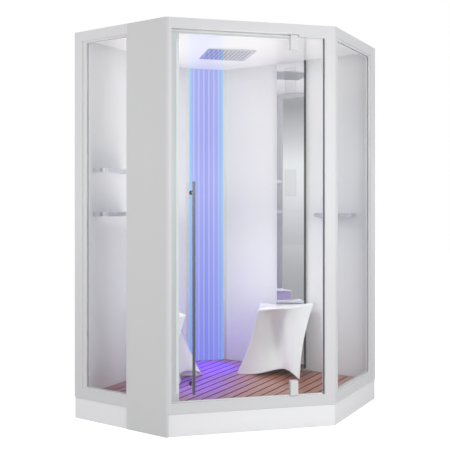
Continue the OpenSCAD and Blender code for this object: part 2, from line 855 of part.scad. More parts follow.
// Steel shower panel
panel_y = wall_in - panel_d;
module shower_panel() {
  color(steel) translate([panel_x, panel_y, panel_z]) linear_extrude(ceiling_z - panel_z) difference() {
    square([panel_w, panel_d]);
    translate([panel_t, panel_t]) square([panel_w - 2 * panel_t, panel_d]);
  }
}
field_w = jet_cols * jet_pitch;
field_h = jet_rows * jet_pitch;
module jet_chambers() {
  color(dark_seal) for (z = [jet_z, neck_jet_z])
    translate([jet_pipe_x - field_w / 2, chamber_front, z - field_h / 2]) cube([field_w, chamber_t, field_h]);
}
nozzle_out = 1.2;
module jet_nozzles() {
  color(dark_seal) for (z = [jet_z, neck_jet_z], i = [0 : jet_cols - 1], j = [0 : jet_rows - 1])
    translate([
      jet_pipe_x + (i - (jet_cols - 1) / 2) * jet_pitch, panel_y,
      z + (j - (jet_rows - 1) / 2) * jet_pitch
    ]) rotate([90, 0, 0]) cylinder(r = jet_r, h = nozzle_out, $fn = 24);
}

// Rain head in the ceiling, turned to face the door
head_box_h = ceiling_t - 1;
module rain_head() {
  color(chrome) translate([rain_x, rain_y, ceiling_z - rain_drop]) rotate([0, 0, 45]) {
    translate([-rain_w / 2, -rain_w / 2, 0]) cube([rain_w, rain_w, rain_drop]);
    translate([-head_box_w / 2, -head_box_w / 2, rain_drop]) cube([head_box_w, head_box_w, head_box_h]);
  }
}
rain_nozzle_r = 2.5;
module rain_nozzles() {
  color(dark_seal) translate([rain_x, rain_y, ceiling_z - rain_drop - nozzle_out]) rotate([0, 0, 45])
    for (i = [0 : rain_n - 1], j = [0 : rain_n - 1])
      translate([(i - (rain_n - 1) / 2) * rain_pitch, (j - (rain_n - 1) / 2) * rain_pitch, 0])
        cylinder(r = rain_nozzle_r, h = nozzle_out, $fn = 24);
}

// Shelves: a bent rail round a plate, drawn with the wall along x
module shelf_outline(g) {
  r = shelf_r - g;
  translate([g, 0]) square([shelf_w - 2 * g, shelf_d - shelf_r]);
  translate([shelf_r, 0]) square([shelf_w - 2 * shelf_r, shelf_d - g]);
  for (x = [shelf_r, shelf_w - shelf_r]) translate([x, shelf_d - shelf_r]) circle(r = r, $fn = 64);
}
module shelf_rail() {
  lift(-shelf_h / 2) linear_extrude(shelf_h) difference() {
    shelf_outline(0);
    shelf_outline(shelf_rail_t);
    translate([shelf_rail_t, -1]) square([shelf_w - 2 * shelf_rail_t, 2]);
  }
}
module shelf_plate() { lift(-shelf_plate_t / 2) linear_extrude(shelf_plate_t) shelf_outline(shelf_rail_t); }
module at_shelves() {
  for (z = [shelf_lo_z, shelf_hi_z])
    translate([-wall_in, -half + shelf_left_y + shelf_w, z]) rotate([0, 0, -90]) children();
  translate([half - shelf_back_x, wall_in, shelf_back_z]) rotate([0, 0, 180]) children();
}
module shelf_rails() { color(chrome) at_shelves() shelf_rail(); }
module shelf_plates() { color(white) at_shelves() shelf_plate(); }

// Door
door_s0 = slim_s + 2;
door_s1 = door_end - door_gap;
door_z = rail_top + door_lift;
door_h = beam_z - door_top_gap - door_z;
clamp_gap = 2;
pivot_d = glass_setback + glass_t / 2;
core_w = clamp_w - 11;
core_h = clamp_h - 20;
bolt_r = 4;
stand_z = [handle_lo + standoff_lo, handle_lo + handle_l - standoff_hi];
module at_pivot() { on_front() translate([pivot_s, pivot_d, 0]) children(); }
// Both pivots: the upper one is the lower one turned over
module both_pivots() {
  at_pivot() lift(rail_top) children();
  at_pivot() lift(beam_z) mirror([0, 0, 1]) children();
}
module door_glass() {
  color(clear) difference() {
    on_front() translate([door_s0, glass_setback, door_z]) cube([door_s1 - door_s0, glass_t, door_h]);
    both_pivots() translate([-core_w / 2 - 0.5, -glass_t, -1])
      cube([core_w + 1, 2 * glass_t, clamp_gap + core_h + 1.5]);
    on_front() for (z = stand_z) translate([handle_s, glass_setback - 1, z])
      rotate([-90, 0, 0]) cylinder(r = bolt_r + 1, h = glass_t + 2);
  }
}
module pivot_clamps() {
  color(satin) both_pivots() lift(clamp_gap) difference() {
    translate([-clamp_w / 2, -glass_t / 2 - clamp_t, 0]) cube([clamp_w, glass_t + 2 * clamp_t, clamp_h]);
    for (x = [-clamp_w / 2 - 1, core_w / 2])
      translate([x, -glass_t / 2, -1]) cube([(clamp_w - core_w) / 2 + 1, glass_t, clamp_h + 2]);
    translate([-core_w / 2 - 1, -glass_t / 2, core_h]) cube([core_w + 2, glass_t, clamp_h]);
    lift(-1) cylinder(r = pin_r + pin_fit, h = pin_l + 3);
  }
}
module pivot_pins() {
  color(steel) both_pivots() {
    cylinder(r = pin_r, h = pin_l);
    cylinder(r = pin_r + 6, h = clamp_gap - 0.3);
  }
}
screw_off = 13;
screw_in = 10;
screw_r = 5;
screw_h = 3;
module clamp_screws() {
  color(steel) both_pivots() for (x = [-screw_off, screw_off])
    translate([x, glass_t / 2 + clamp_t, clamp_gap + clamp_h - screw_in])
      rotate([-90, 0, 0]) difference() {
        cylinder(r = screw_r, h = screw_h);
        lift(screw_h / 2) cylinder(r = screw_r / 2, h = screw_h, $fn = 6);
      }
}
stand_r = handle_r * 0.75;
bar_d = glass_setback - handle_reach;
rosette_t = 4;
module handle_bar() {
  color(chrome) on_front() {
    translate([handle_s, bar_d, handle_lo]) cylinder(r = handle_r, h = handle_l);
    for (z = stand_z) {
      rod([handle_s, bar_d, z], [handle_s, glass_setback - rosette_t, z], stand_r);
      rod([handle_s, glass_setback - rosette_t, z], [handle_s, glass_back, z], bolt_r);
    }
  }
}
module handle_rosettes() {
  color(chrome) on_front() for (z = stand_z) {
    difference() {
      rod([handle_s, glass_setback - rosette_t, z], [handle_s, glass_setback, z], rosette_r);
      rod([handle_s, glass_setback - rosette_t - 1, z], [handle_s, glass_setback + 1, z], bolt_r);
    }
    rod([handle_s, glass_back, z], [handle_s, glass_back + rosette_t, z], rosette_r);
  }
}
seal_w = door_gap - 1.5;
seal_h = door_lift - 1;
seal_top = 4;
lip_seal_w = 14;
lip_seal_in = 40;
// The seal strips left and right of the clamps: where each starts and how long it is
seal_runs = [
  [door_s0, pivot_s - clamp_w / 2 - 1 - door_s0],
  [pivot_s + clamp_w / 2 + 1, door_s1 - pivot_s - clamp_w / 2 - 1]
];
module door_seals() {
  color(dark_seal) on_front() {
    for (r = seal_runs) {
      translate([r[0], glass_setback, door_z - seal_h]) cube([r[1], glass_t, seal_h]);
      translate([r[0], glass_setback + 1, door_z + door_h]) cube([r[1], glass_t - 2, seal_top]);
    }
    translate([door_s1, glass_setback, door_z]) cube([seal_w, glass_t, door_h]);
    translate([slim_s + lip_w - lip_seal_w - 2, glass_back, door_z + lip_seal_in])
      cube([lip_seal_w, lip_from - glass_back - 0.4, door_h - 2 * lip_seal_in]);
  }
}

// Duckboard
slat_shift = 10;
batten_h = 22;
board_z = floor_z + batten_h;
module board_plan() {
  difference() {
    basin_plan(board_gap);
    translate([panel_x - board_gap - 1, panel_y - board_gap - 1])
      square([panel_w + 2 * board_gap + 2, frame_d + panel_d]);
  }
}
gap_last = floor((wall_in - slat_pitch / 2 - slat_shift) / slat_pitch);
gap_first = -floor((wall_in - slat_pitch / 2 + slat_shift) / slat_pitch);
module teak_slats() {
  color(teak) lift(board_z) linear_extrude(slat_t) difference() {
    board_plan();
    for (k = [gap_first : gap_last])
      translate([slat_shift + k * slat_pitch - slat_gap / 2, -half]) square([slat_gap, cabin_w]);
  }
}
batten_y = [column_y + 110, column_y + 280, right_corner(0)[1] + 50, half - 320, half - 120];
batten_in = 4;
module teak_battens() {
  color([0.45, 0.28, 0.20]) lift(floor_z + seat_gap) linear_extrude(batten_h - seat_gap)
    for (y = batten_y) intersection() {
      basin_plan(board_gap + batten_in);
      translate([-half, y - batten_w / 2]) square([cabin_w, batten_w]);
    }
}

// Stools: a shell twisted from a three-cornered foot to a three-cornered seat.
// Corners are measured from a point near the back wall, on the duckboard.
board_top = board_z + slat_t;
stool_x = 70;
stool_y = panel_y - 10;
stool_foot = [[-205, -298, 0], [216, -237, 0], [0, 0, 0]];
stool_seat = [[-45, -308, -30], [209, 0, 0], [-164, -60, -20]];
// Where along the front side its hollow is deepest at the foot and at the seat, and how wide it is
hollow_foot = 0.65;
hollow_seat = 0.35;
hollow_w = 0.33;
// How far the arches lean to their right end, and the share of the rise that the rear sides take
arch_lean = 2.4;
rear_arch = 0.6;
side_n = 8;
level_n = 9;
ring_n = 3 * side_n;
seat_rings = 4;
function mix(a, b, t) = a + (b - a) * t;
function middle(c) = (c[0] + c[1] + c[2]) / 3;
foot_mid = middle(stool_foot);
seat_mid = middle(stool_seat);
function hump(t) = 4 * t * (1 - t);
// Corner i at height fraction h, moved in by g
function stool_corner(i, h, g) =
  let (a = mix(stool_foot[i], stool_seat[i], h), m = mix(foot_mid, seat_mid, h),
       v = [m[0] - a[0], m[1] - a[1]], l = norm(v), pull = g * 2 + ridge_bow * hump(h))
  [a[0] + v[0] / l * pull, a[1] + v[1] / l * pull, a[2] * h];
// Share of the hollow's depth at u along the front side, whose deepest place is c
function hollow(u, c) = pow(hump(u) / hump(c), 2) * exp(-pow((u - c) / hollow_w, 2));
// Inward bow of side i: the front side has a slanting hollow, the right side a plain one
function side_bow(i, u, h) =
  i == 0 ? hollow(u, mix(hollow_foot, hollow_seat, h)) * (foot_bow * (1 - h) + front_bow * hump(h))
  : i == 1 ? right_bow * pow(hump(u), 2) * hump(h) : 0;
// A point of the shell's ring: k counts round it, h is the height fraction. Each side is bowed by
// its place u along the outer side, so that the inner shell keeps its distance
function stool_point(k, h, g) =
  let (i = floor(k / side_n), a = stool_corner(i, h, 0), b = stool_corner((i + 1) % 3, h, 0),
       p = mix(stool_corner(i, h, g), stool_corner((i + 1) % 3, h, g), (k - i * side_n) / side_n),
       side = [b[0] - a[0], b[1] - a[1]], l = norm(side), along = side / l,
       u = ((p[0] - a[0]) * along[0] + (p[1] - a[1]) * along[1]) / l,
       bow = side_bow(i, u, h),
       rise = arch_h * (i == 0 ? 1 : rear_arch) * hump(pow(u, arch_lean)) * pow(1 - h, 3),
       dip = -seat_dip * hump(u) * pow(h, 3))
  [p[0] - along[1] * bow, p[1] + along[0] * bow, seat_gap + seat_h * h + p[2] + rise + dip];
// Seat surface: rings that close in on its middle
function seat_point(k, r, g) =
  let (p = stool_point(k, 1 - g / seat_h, g), c = [seat_mid[0], seat_mid[1], seat_h - g - seat_dip * 1.3])
  [mix(c[0], p[0], r), mix(c[1], p[1], r), mix(c[2], p[2], pow(r, 2))];
function shell_points(g) = concat(
  [for (j = [0 : level_n], k = [0 : ring_n - 1]) stool_point(k, j / level_n * (1 - g / seat_h), g)],
  [for (j = [1 : seat_rings - 1], k = [0 : ring_n - 1]) seat_point(k, 1 - j / seat_rings, g)],
  [[seat_mid[0], seat_mid[1], seat_h - g - seat_dip * 1.3]]
);
shell_rows = level_n + seat_rings;
shell_count = shell_rows * ring_n + 1;
// Triangles of one shell whose points start at index o; flip turns them inside out
function shell_faces(o, flip) = concat(
  [for (j = [0 : shell_rows - 2], k = [0 : ring_n - 1]) let (
     a = o + j * ring_n + k, b = o + j * ring_n + (k + 1) % ring_n, c = a + ring_n, d = b + ring_n)
     flip ? [a, b, c] : [a, c, b]],
  [for (j = [0 : shell_rows - 2], k = [0 : ring_n - 1]) let (
     a = o + j * ring_n + k, b = o + j * ring_n + (k + 1) % ring_n, c = a + ring_n, d = b + ring_n)
     flip ? [b, d, c] : [b, c, d]],
  [for (k = [0 : ring_n - 1]) let (
     a = o + (shell_rows - 1) * ring_n + k, b = o + (shell_rows - 1) * ring_n + (k + 1) % ring_n,
     c = o + shell_rows * ring_n)
     flip ? [a, b, c] : [a, c, b]]
);
// The foot's edge joins the outer shell to the inner one
foot_faces = concat(
  [for (k = [0 : ring_n - 1]) [k, (k + 1) % ring_n, shell_count + k]],
  [for (k = [0 : ring_n - 1]) [(k + 1) % ring_n, shell_count + (k + 1) % ring_n, shell_count + k]]
);
module stool() {
  translate([stool_x, stool_y, board_top]) polyhedron(
    points = concat(shell_points(0), shell_points(stool_t)),
    faces = concat(shell_faces(0, false), shell_faces(shell_count, true), foot_faces), convexity = 6);
}
// The left stool is the same moulding, turned about its middle
stool_pivot = [stool_x + 5, stool_y - 147, 0];
left_stool_at = [-half + 261, -82, 0];
left_stool_turn = 87.2;
module stool_right() { color(white) stool(); }
module stool_left() {
  color(white) translate(left_stool_at) rotate([0, 0, left_stool_turn]) translate(-stool_pivot) stool();
}

tray();
tray_frame();
levelling_feet();
plinth_panels();
drain_trap();
drain_grate();
wall_back();
wall_left();
wall_studs();
ceiling();
roof_rails();
post_left();
post_column();
post_corner();
post_right();
rail_left();
rail_front();
rail_right();
beam_left();
beam_front();
beam_right();
glass_left();
glass_right();
beads_left();
beads_right();
column_cover();
column_chassis();
touch_icons();
control_board();
steam_generator();
steam_outlet();
mixing_valve();
solenoid_valves();
inlet_pipes();
rain_pipe();
jet_pipe();
cable_gland();
led_diffuser();
led_trims();
led_backplate();
led_strips();
led_driver();
shower_panel();
jet_chambers();
jet_nozzles();
rain_head();
rain_nozzles();
shelf_rails();
shelf_plates();
pivot_pins();
door_glass();
pivot_clamps();
clamp_screws();
handle_bar();
handle_rosettes();
door_seals();
teak_slats();
teak_battens();
stool_right();
stool_left();
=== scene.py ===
"""Shower cabin: finishes, moulded stools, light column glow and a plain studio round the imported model.

Laid out as an add-on, with one operator for each group of like pieces and one for the studio.
Lengths are in metres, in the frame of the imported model: +Z up, walls at -X and +Y.
Sizes of surface patterns are in millimetres.
"""

import json
import math

import bpy
from mathutils import Matrix, Vector


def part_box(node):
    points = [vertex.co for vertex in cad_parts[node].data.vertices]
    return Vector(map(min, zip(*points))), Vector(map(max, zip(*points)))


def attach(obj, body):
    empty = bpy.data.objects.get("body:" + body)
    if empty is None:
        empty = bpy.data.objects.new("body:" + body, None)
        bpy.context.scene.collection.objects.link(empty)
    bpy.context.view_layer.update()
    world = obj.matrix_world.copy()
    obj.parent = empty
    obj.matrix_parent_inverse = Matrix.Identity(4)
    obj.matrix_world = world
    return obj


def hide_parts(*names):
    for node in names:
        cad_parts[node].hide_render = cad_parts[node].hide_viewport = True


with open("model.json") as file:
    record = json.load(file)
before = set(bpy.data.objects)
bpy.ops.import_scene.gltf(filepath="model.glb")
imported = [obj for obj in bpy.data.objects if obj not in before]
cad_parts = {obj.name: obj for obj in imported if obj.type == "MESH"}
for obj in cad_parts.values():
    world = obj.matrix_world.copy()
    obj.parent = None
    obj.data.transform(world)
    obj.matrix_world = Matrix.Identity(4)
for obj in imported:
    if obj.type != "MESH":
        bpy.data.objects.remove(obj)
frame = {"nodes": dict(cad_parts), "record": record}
nodes = frame["nodes"]

bl_info = {
    "name": "Shower Cabin Looks",
    "version": (1, 0, 0),
    "blender": (4, 5, 0),
    "location": "View3D > Sidebar > Cabin",
    "description": "Finishes, stools, light column and studio for the packed shower cabin",
    "category": "Object",
}

ROOT2 = math.sqrt(2)
# The kind of shader node that comes back most
MATH = "ShaderNodeMath"

# The material slot of each node, as the record gives it
SLOT_OF = {part["node"]: part["material_slot"] for part in frame["record"]["subparts"]}


# Colour and node helpers

def linear(hex_colour):
    """An sRGB colour such as "d8d8da" as linear RGB with full alpha."""
    out = []
    for k in (0, 2, 4):
        c = int(hex_colour[k:k + 2], 16) / 255
        out.append(c / 12.92 if c <= 0.04045 else ((c + 0.055) / 1.055) ** 2.4)
    return (*out, 1.0)


def per_metre(*sizes):
    """How many patches of each size in millimetres make a metre, in whole numbers."""
    return [round(1000 / size) for size in sizes]


def add_node(tree, kind, inputs=(), stops=(), **settings):
    """Adds a shader node with its settings and links.

    inputs gives each socket its value, a hex colour, or the node or output that feeds it;
    stops gives the positions and colours of a ramp.
    """
    node = tree.nodes.new(kind)
    for key, value in settings.items():
        setattr(node, key, value)
    for key, value in dict(inputs).items():
        if isinstance(value, bpy.types.Node):
            value = value.outputs[0]
        if isinstance(value, bpy.types.NodeSocket):
            tree.links.new(node.inputs[key], value)
        else:
            node.inputs[key].default_value = linear(value) if isinstance(value, str) else value
    if stops:
        elements = node.color_ramp.elements
        while len(elements) < len(stops):
            elements.new(0.5)
        for element, (position, colour) in zip(elements, stops):
            element.position = position
            element.color = linear(colour) if isinstance(colour, str) else colour
    return node


def new_material(name):
    """A material with an empty node tree."""
    m = bpy.data.materials.new(name)
    m.use_nodes = True
    m.node_tree.nodes.clear()
    return m, m.node_tree


def grained(name, colour, roughness, metallic=0.0, grain=(1.667, 1.667, 1.667), strength=0.05, depth=0.3,
            detail=2.0, coat=(0.0, 0.03)):
    """A finish with a fine relief: grain is the size of its patches and depth their depth, in millimetres.

    Real grains of a tenth of a millimetre are too fine to show, so they are drawn about ten times as
    coarse. coat is the weight and roughness of a clear skin on top.
    """
    m, t = new_material(name)
    here = add_node(t, "ShaderNodeTexCoord").outputs["Object"]
    scaled = add_node(t, "ShaderNodeMapping", {"Vector": here, "Scale": per_metre(*grain)})
    relief = add_node(t, "ShaderNodeTexNoise", {"Vector": scaled, "Scale": 1.0, "Detail": detail})
    normal = add_node(t, "ShaderNodeBump",
                      {"Height": relief, "Strength": strength, "Distance": depth / 1000})
    surface = add_node(t, "ShaderNodeBsdfPrincipled", {
        "Base Color": colour, "Roughness": roughness, "Metallic": metallic, "Normal": normal,
        "Coat Weight": coat[0], "Coat Roughness": coat[1]})
    add_node(t, "ShaderNodeOutputMaterial", {"Surface": surface})
    return m


def along_door(tree):
    """Distance of a point along the door's direction, which is also that of the light column."""
    here = add_node(tree, "ShaderNodeTexCoord").outputs["Object"]
    return add_node(tree, "ShaderNodeVectorMath", {0: here, 1: (1 / ROOT2, 1 / ROOT2, 0)},
                    operation="DOT_PRODUCT").outputs["Value"]


# Materials, one for each slot of the record; look holds the colours that a user can change

def satin_aluminium(look):
    """Anodised aluminium profile: pale, soft highlight, hair-fine upright drawing lines."""
    return grained("satin_anodised_aluminium", look.frame_colour, roughness=0.38, metallic=0.25,
                   grain=(1.111, 1.111, 167), coat=(0.15, 0.3))


def white_acrylic(look):
    """Thermoformed sanitary acrylic: clean gloss white, with slow waves 11 cm wide from the mould."""
    return grained("gloss_white_acrylic", look.acrylic_colour, roughness=0.16, grain=(111, 111, 111),
                   strength=0.03, depth=2.0, detail=1.0, coat=(0.4, 0.05))


def wall_sheet(look):
    """Pressed laminate wall sheet: satin, pale cool grey."""
    return grained("satin_laminate_sheet", look.wall_colour, roughness=0.3, grain=(1.429, 1.429, 1.429),
                   strength=0.03, depth=0.2)


def column_lacquer(look):
    """Sprayed lacquer of the service column: pale grey with an orange peel of 2.4 mm."""
    return grained("satin_grey_lacquer", look.column_colour, roughness=0.4, grain=(2.38, 2.38, 2.38),
                   strength=0.04, detail=1.0)


# Float glass: its IOR, the share that a face mirrors face on, and how fast that rises at a slant
GLASS_IOR = 1.5
FACE_ON_SHINE = 0.04
SHINE_RISE = 5.0


def clear_glass(look):
    """Tempered float glass: clear, mirrors more at a slant, and lets the lamps' light through."""
    m, t = new_material("clear_tempered_glass")
    body = add_node(t, "ShaderNodeBsdfPrincipled", {
        "Base Color": "fdfefe", "Roughness": 0.0, "IOR": GLASS_IOR, "Transmission Weight": 1.0})
    path = add_node(t, "ShaderNodeLightPath").outputs
    clear = add_node(t, "ShaderNodeBsdfTransparent", {"Color": "fdfefe"})
    shine = add_node(t, "ShaderNodeBsdfGlossy", {"Color": "ffffff", "Roughness": 0.0})
    tilt = add_node(t, "ShaderNodeLayerWeight", {"Blend": 0.5}).outputs["Facing"]
    steep = add_node(t, MATH, {0: tilt, 1: SHINE_RISE}, operation="POWER")
    rise = add_node(t, MATH, {0: steep, 1: 1 - FACE_ON_SHINE}, operation="MULTIPLY")
    mirrored = add_node(t, MATH, {0: rise, 1: FACE_ON_SHINE}, operation="ADD")
    # Straight views skip the bend of the light, which is small in a thin pane
    pane = add_node(t, "ShaderNodeMixShader", {"Fac": mirrored, 1: clear, 2: shine})
    seen = add_node(t, "ShaderNodeMixShader", {"Fac": path["Is Camera Ray"], 1: body, 2: pane})
    lit_through = add_node(t, MATH, {0: path["Is Shadow Ray"], 1: path["Is Diffuse Ray"]},
                           operation="MAXIMUM")
    surface = add_node(t, "ShaderNodeMixShader", {"Fac": lit_through, 1: seen, 2: clear})
    add_node(t, "ShaderNodeOutputMaterial", {"Surface": surface})
    return m


# The light column: its number of flutes, where in half a flute the bright line starts and how much it
# brightens, the height over which the column fades towards the floor, and its glow
FLUTES = 7
LINE_FROM = 0.41
LINE_SHARE = 0.5
FADE_HEIGHT = 2.2
COLUMN_GLOW = 0.88


def opal_diffuser(look):
    """Fluted opal acrylic lit from behind: violet blue, cyan at its edges, bright lines between flutes."""
    m, t = new_material("opal_diffuser_lit")
    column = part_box("led_diffuser")
    first = (column[0].x + column[0].y) / ROOT2
    wide = (column[1].x + column[1].y) / ROOT2 - first
    past = add_node(t, MATH, {0: along_door(t), 1: first}, operation="SUBTRACT")
    share = add_node(t, MATH, {0: past, 1: wide}, operation="DIVIDE")
    hue = add_node(t, "ShaderNodeValToRGB", {"Fac": share}, stops=[
        (0.0, look.glow_edge_colour), (0.05, "9cd4ff"), (0.11, "a8b2fc"), (0.5, look.glow_colour),
        (0.89, "a8b2fc"), (0.95, "9cd4ff"), (1.0, look.glow_edge_colour)])
    count = add_node(t, MATH, {0: share, 1: FLUTES}, operation="MULTIPLY")
    flute = add_node(t, MATH, {0: count}, operation="FRACT")
    centred = add_node(t, MATH, {0: flute, 1: 0.5}, operation="SUBTRACT")
    off_centre = add_node(t, MATH, {0: centred}, operation="ABSOLUTE")
    line = add_node(t, MATH, {0: off_centre, 1: LINE_FROM}, operation="GREATER_THAN")
    weight = add_node(t, MATH, {0: line, 1: LINE_SHARE}, operation="MULTIPLY")
    lined = add_node(t, "ShaderNodeMix", {"Factor": weight, 6: hue, 7: "eef6ff"}, data_type="RGBA").outputs[2]
    here = add_node(t, "ShaderNodeTexCoord").outputs["Object"]
    height = add_node(t, "ShaderNodeSeparateXYZ", {0: here}).outputs["Z"]
    risen = add_node(t, MATH, {0: height, 1: FADE_HEIGHT}, operation="DIVIDE")
    fade = add_node(t, "ShaderNodeValToRGB", {"Fac": risen},
                    stops=[(0.05, "c8ccf8"), (0.5, "f2f3ff"), (0.97, "ffffff")])
    lit = add_node(t, "ShaderNodeMix", {"Factor": 1.0, 6: lined, 7: fade}, data_type="RGBA",
                   blend_type="MULTIPLY").outputs[2]
    surface = add_node(t, "ShaderNodeBsdfPrincipled", {
        "Base Color": "404048", "Roughness": 0.35, "Emission Color": lit, "Emission Strength": COLUMN_GLOW})
    add_node(t, "ShaderNodeOutputMaterial", {"Surface": surface})
    return m


# Width of the painted shade along the steel panel's right edge, standing in for its side face in shadow
SHADED_EDGE_WIDTH = 0.004


def polished_steel(look):
    """Polished stainless steel: a mirror with a faint upright grain, and painted shade along its right edge
    for the side face in shadow.
    """
    m, t = new_material("polished_stainless_steel")
    here = add_node(t, "ShaderNodeTexCoord").outputs["Object"]
    across = add_node(t, "ShaderNodeSeparateXYZ", {0: here}).outputs["X"]
    # Painted shade: the last few millimetres of the panel's right edge turn dark grey, standing in for its
    # shadowed side face
    edge = add_node(t, MATH, {0: across, 1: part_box("shower_panel")[1].x - SHADED_EDGE_WIDTH},
                    operation="GREATER_THAN")
    tone = add_node(t, "ShaderNodeMix", {"Factor": edge, 6: "f2f2f4", 7: "5a5a5c"},
                    data_type="RGBA").outputs[2]
    # Polishing lines 0.67 mm wide and 125 mm long, coarser than real ones so that they show
    scaled = add_node(t, "ShaderNodeMapping", {"Vector": here, "Scale": per_metre(0.6667, 0.6667, 125)})
    lines = add_node(t, "ShaderNodeTexNoise", {"Vector": scaled, "Scale": 1.0, "Detail": 2.0})
    normal = add_node(t, "ShaderNodeBump", {"Height": lines, "Strength": 0.01, "Distance": 0.0002})
    surface = add_node(t, "ShaderNodeBsdfPrincipled", {
        "Base Color": tone, "Roughness": 0.02, "Metallic": 1.0, "Normal": normal})
    add_node(t, "ShaderNodeOutputMaterial", {"Surface": surface})
    return m


def polished_chrome(look):
    """Polished chrome plate: a clean mirror, a little darker than silver."""
    m, t = new_material("polished_chrome_plate")
    surface = add_node(t, "ShaderNodeBsdfPrincipled", {
        "Base Color": "e2e2e8", "Roughness": 0.07, "Metallic": 1.0})
    add_node(t, "ShaderNodeOutputMaterial", {"Surface": surface})
    return m


def dark_chrome(look):
    """Smoke grey chrome plate of the handle: a dark mirror with a faint upright haze."""
    return grained("smoke_chrome_plate", look.handle_colour, roughness=0.12, metallic=1.0,
                   grain=(25, 25, 167), strength=0.02, depth=0.5)


def satin_steel(look):
    """Cross-brushed stainless steel: soft highlight and a fine level grain."""
    return grained("satin_stainless_steel", "b4b4b8", roughness=0.32, metallic=1.0,
                   grain=(3.33, 3.33, 0.7143), strength=0.08, depth=0.2)


# Share of the streaks in the grain, the rest being pores, and the rise under which a face is an upright slat
# side that gets painted shade
STREAK_SHARE = 0.7
SHADED_SIDE_RISE = 0.5


def oiled_wood(name, light, dark, roughness):
    """Sawn and oiled teak: long grain along each slat, darker streaks, fine pores, and painted shade on the
    upright sides for the shade in the gaps between slats.
    """
    m, t = new_material(name)
    here = add_node(t, "ShaderNodeTexCoord").outputs["Object"]
    # Streaks 17 mm wide and 250 mm long, and pores drawn ten times as wide as the real ones
    wide = add_node(t, "ShaderNodeMapping", {"Vector": here, "Scale": per_metre(16.7, 250, 16.7)})
    streaks = add_node(t, "ShaderNodeTexNoise",
                       {"Vector": wide, "Scale": 1.0, "Detail": 4.0, "Roughness": 0.6})
    narrow = add_node(t, "ShaderNodeMapping", {"Vector": here, "Scale": per_metre(1.429, 33, 1.429)})
    pores = add_node(t, "ShaderNodeTexNoise",
                     {"Vector": narrow, "Scale": 1.0, "Detail": 3.0, "Roughness": 0.6})
    most = add_node(t, MATH, {0: streaks, 1: STREAK_SHARE}, operation="MULTIPLY")
    rest = add_node(t, MATH, {0: pores, 1: 1 - STREAK_SHARE}, operation="MULTIPLY")
    grain = add_node(t, MATH, {0: most, 1: rest}, operation="ADD")
    tone = add_node(t, "ShaderNodeValToRGB", {"Fac": grain},
                    stops=[(0.32, dark), (0.5, light), (0.68, light)])
    # Painted shade: upright faces, which are the slats' sides down in the gaps, turn near-black brown
    facing = add_node(t, "ShaderNodeNewGeometry").outputs["True Normal"]
    up = add_node(t, "ShaderNodeSeparateXYZ", {0: facing}).outputs["Z"]
    side = add_node(t, MATH, {0: up, 1: SHADED_SIDE_RISE}, operation="LESS_THAN")
    shaded_tone = add_node(t, "ShaderNodeMix", {"Factor": side, 6: tone, 7: "1c100d"}, data_type="RGBA").outputs[2]
    normal = add_node(t, "ShaderNodeBump", {"Height": pores, "Strength": 0.15, "Distance": 0.0006})
    surface = add_node(t, "ShaderNodeBsdfPrincipled", {
        "Base Color": shaded_tone, "Roughness": roughness, "Normal": normal, "Coat Weight": 0.8,
        "Coat Roughness": 0.3})
    add_node(t, "ShaderNodeOutputMaterial", {"Surface": surface})
    return m


def teak(look):
    """Teak slats: warm red brown under a thin coat of oil."""
    return oiled_wood("oiled_teak", look.teak_colour, look.teak_streak_colour, 0.42)


def dark_teak(look):
    """Teak battens under the slats: darker, with a duller oil."""
    return oiled_wood("oiled_dark_teak", "73503f", "58392b", 0.5)


# Width of the dark strip down the door seal's pivot-side edge
DARK_STRIP_WIDTH = 0.012


def clear_seal(look):
    """Extruded vinyl seals: pale and milky, with a dark strip down the pivot-side edge."""
    m, t = new_material("translucent_vinyl_seal")
    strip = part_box("door_seals")[1]
    # A dark grey strip down the last few millimetres of the seal's pivot-side edge
    edge = add_node(t, MATH, {0: along_door(t), 1: (strip.x + strip.y) / ROOT2 - DARK_STRIP_WIDTH},
                    operation="GREATER_THAN")
    tone = add_node(t, "ShaderNodeMix", {"Factor": edge, 6: "eef1f1", 7: "6c6c70"},
                    data_type="RGBA").outputs[2]
    here = add_node(t, "ShaderNodeTexCoord").outputs["Object"]
    # A skin of 2 mm patches, coarser than the real one so that it shows
    skin = add_node(t, "ShaderNodeTexNoise", {"Vector": here, "Scale": per_metre(2)[0], "Detail": 2.0})
    normal = add_node(t, "ShaderNodeBump", {"Height": skin, "Strength": 0.05, "Distance": 0.0003})
    surface = add_node(t, "ShaderNodeBsdfPrincipled",
                       {"Base Color": tone, "Roughness": 0.3, "Normal": normal})
    add_node(t, "ShaderNodeOutputMaterial", {"Surface": surface})
    return m


def grey_rubber(look):
    """Moulded silicone: near black, soft sheen, dusty grain."""
    return grained("grey_silicone_rubber", "242428", roughness=0.6)


def black_plastic(look):
    """Moulded ABS: black with a spark-eroded grain."""
    return grained("black_moulded_plastic", "2a2a2d", roughness=0.5, grain=(0.833, 0.833, 0.833),
                   strength=0.1)


def zinc_steel(look):
    """Hot-dip galvanised steel: dull grey with zinc blotches 11 mm wide."""
    return grained("galvanised_steel", "a5a8ab", roughness=0.45, metallic=0.8, grain=(11.1, 11.1, 11.1),
                   strength=0.08)


def valve_brass(look):
    """Cast and turned brass: warm and satin."""
    return grained("cast_valve_brass", "c39a55", roughness=0.3, metallic=1.0, grain=(4, 4, 4), strength=0.1)


def circuit_board(look):
    """Green lacquer over glass cloth, with its weave of about 1 mm."""
    return grained("green_circuit_board", "1f6b42", roughness=0.35, grain=(1.111, 1.111, 1.111), strength=0.1)


def icon_lens(look):
    """Moulded clear plastic over white: pale, with a soft gloss."""
    return grained("icon_lens_plastic", "dcdcde", roughness=0.2)


def frosted_acrylic(look):
    """Sand-blasted acrylic shelf plate: white and even, with light inside."""
    return grained("frosted_acrylic_plate", "f0f1f4", roughness=0.35, grain=(2, 2, 2), strength=0.04)


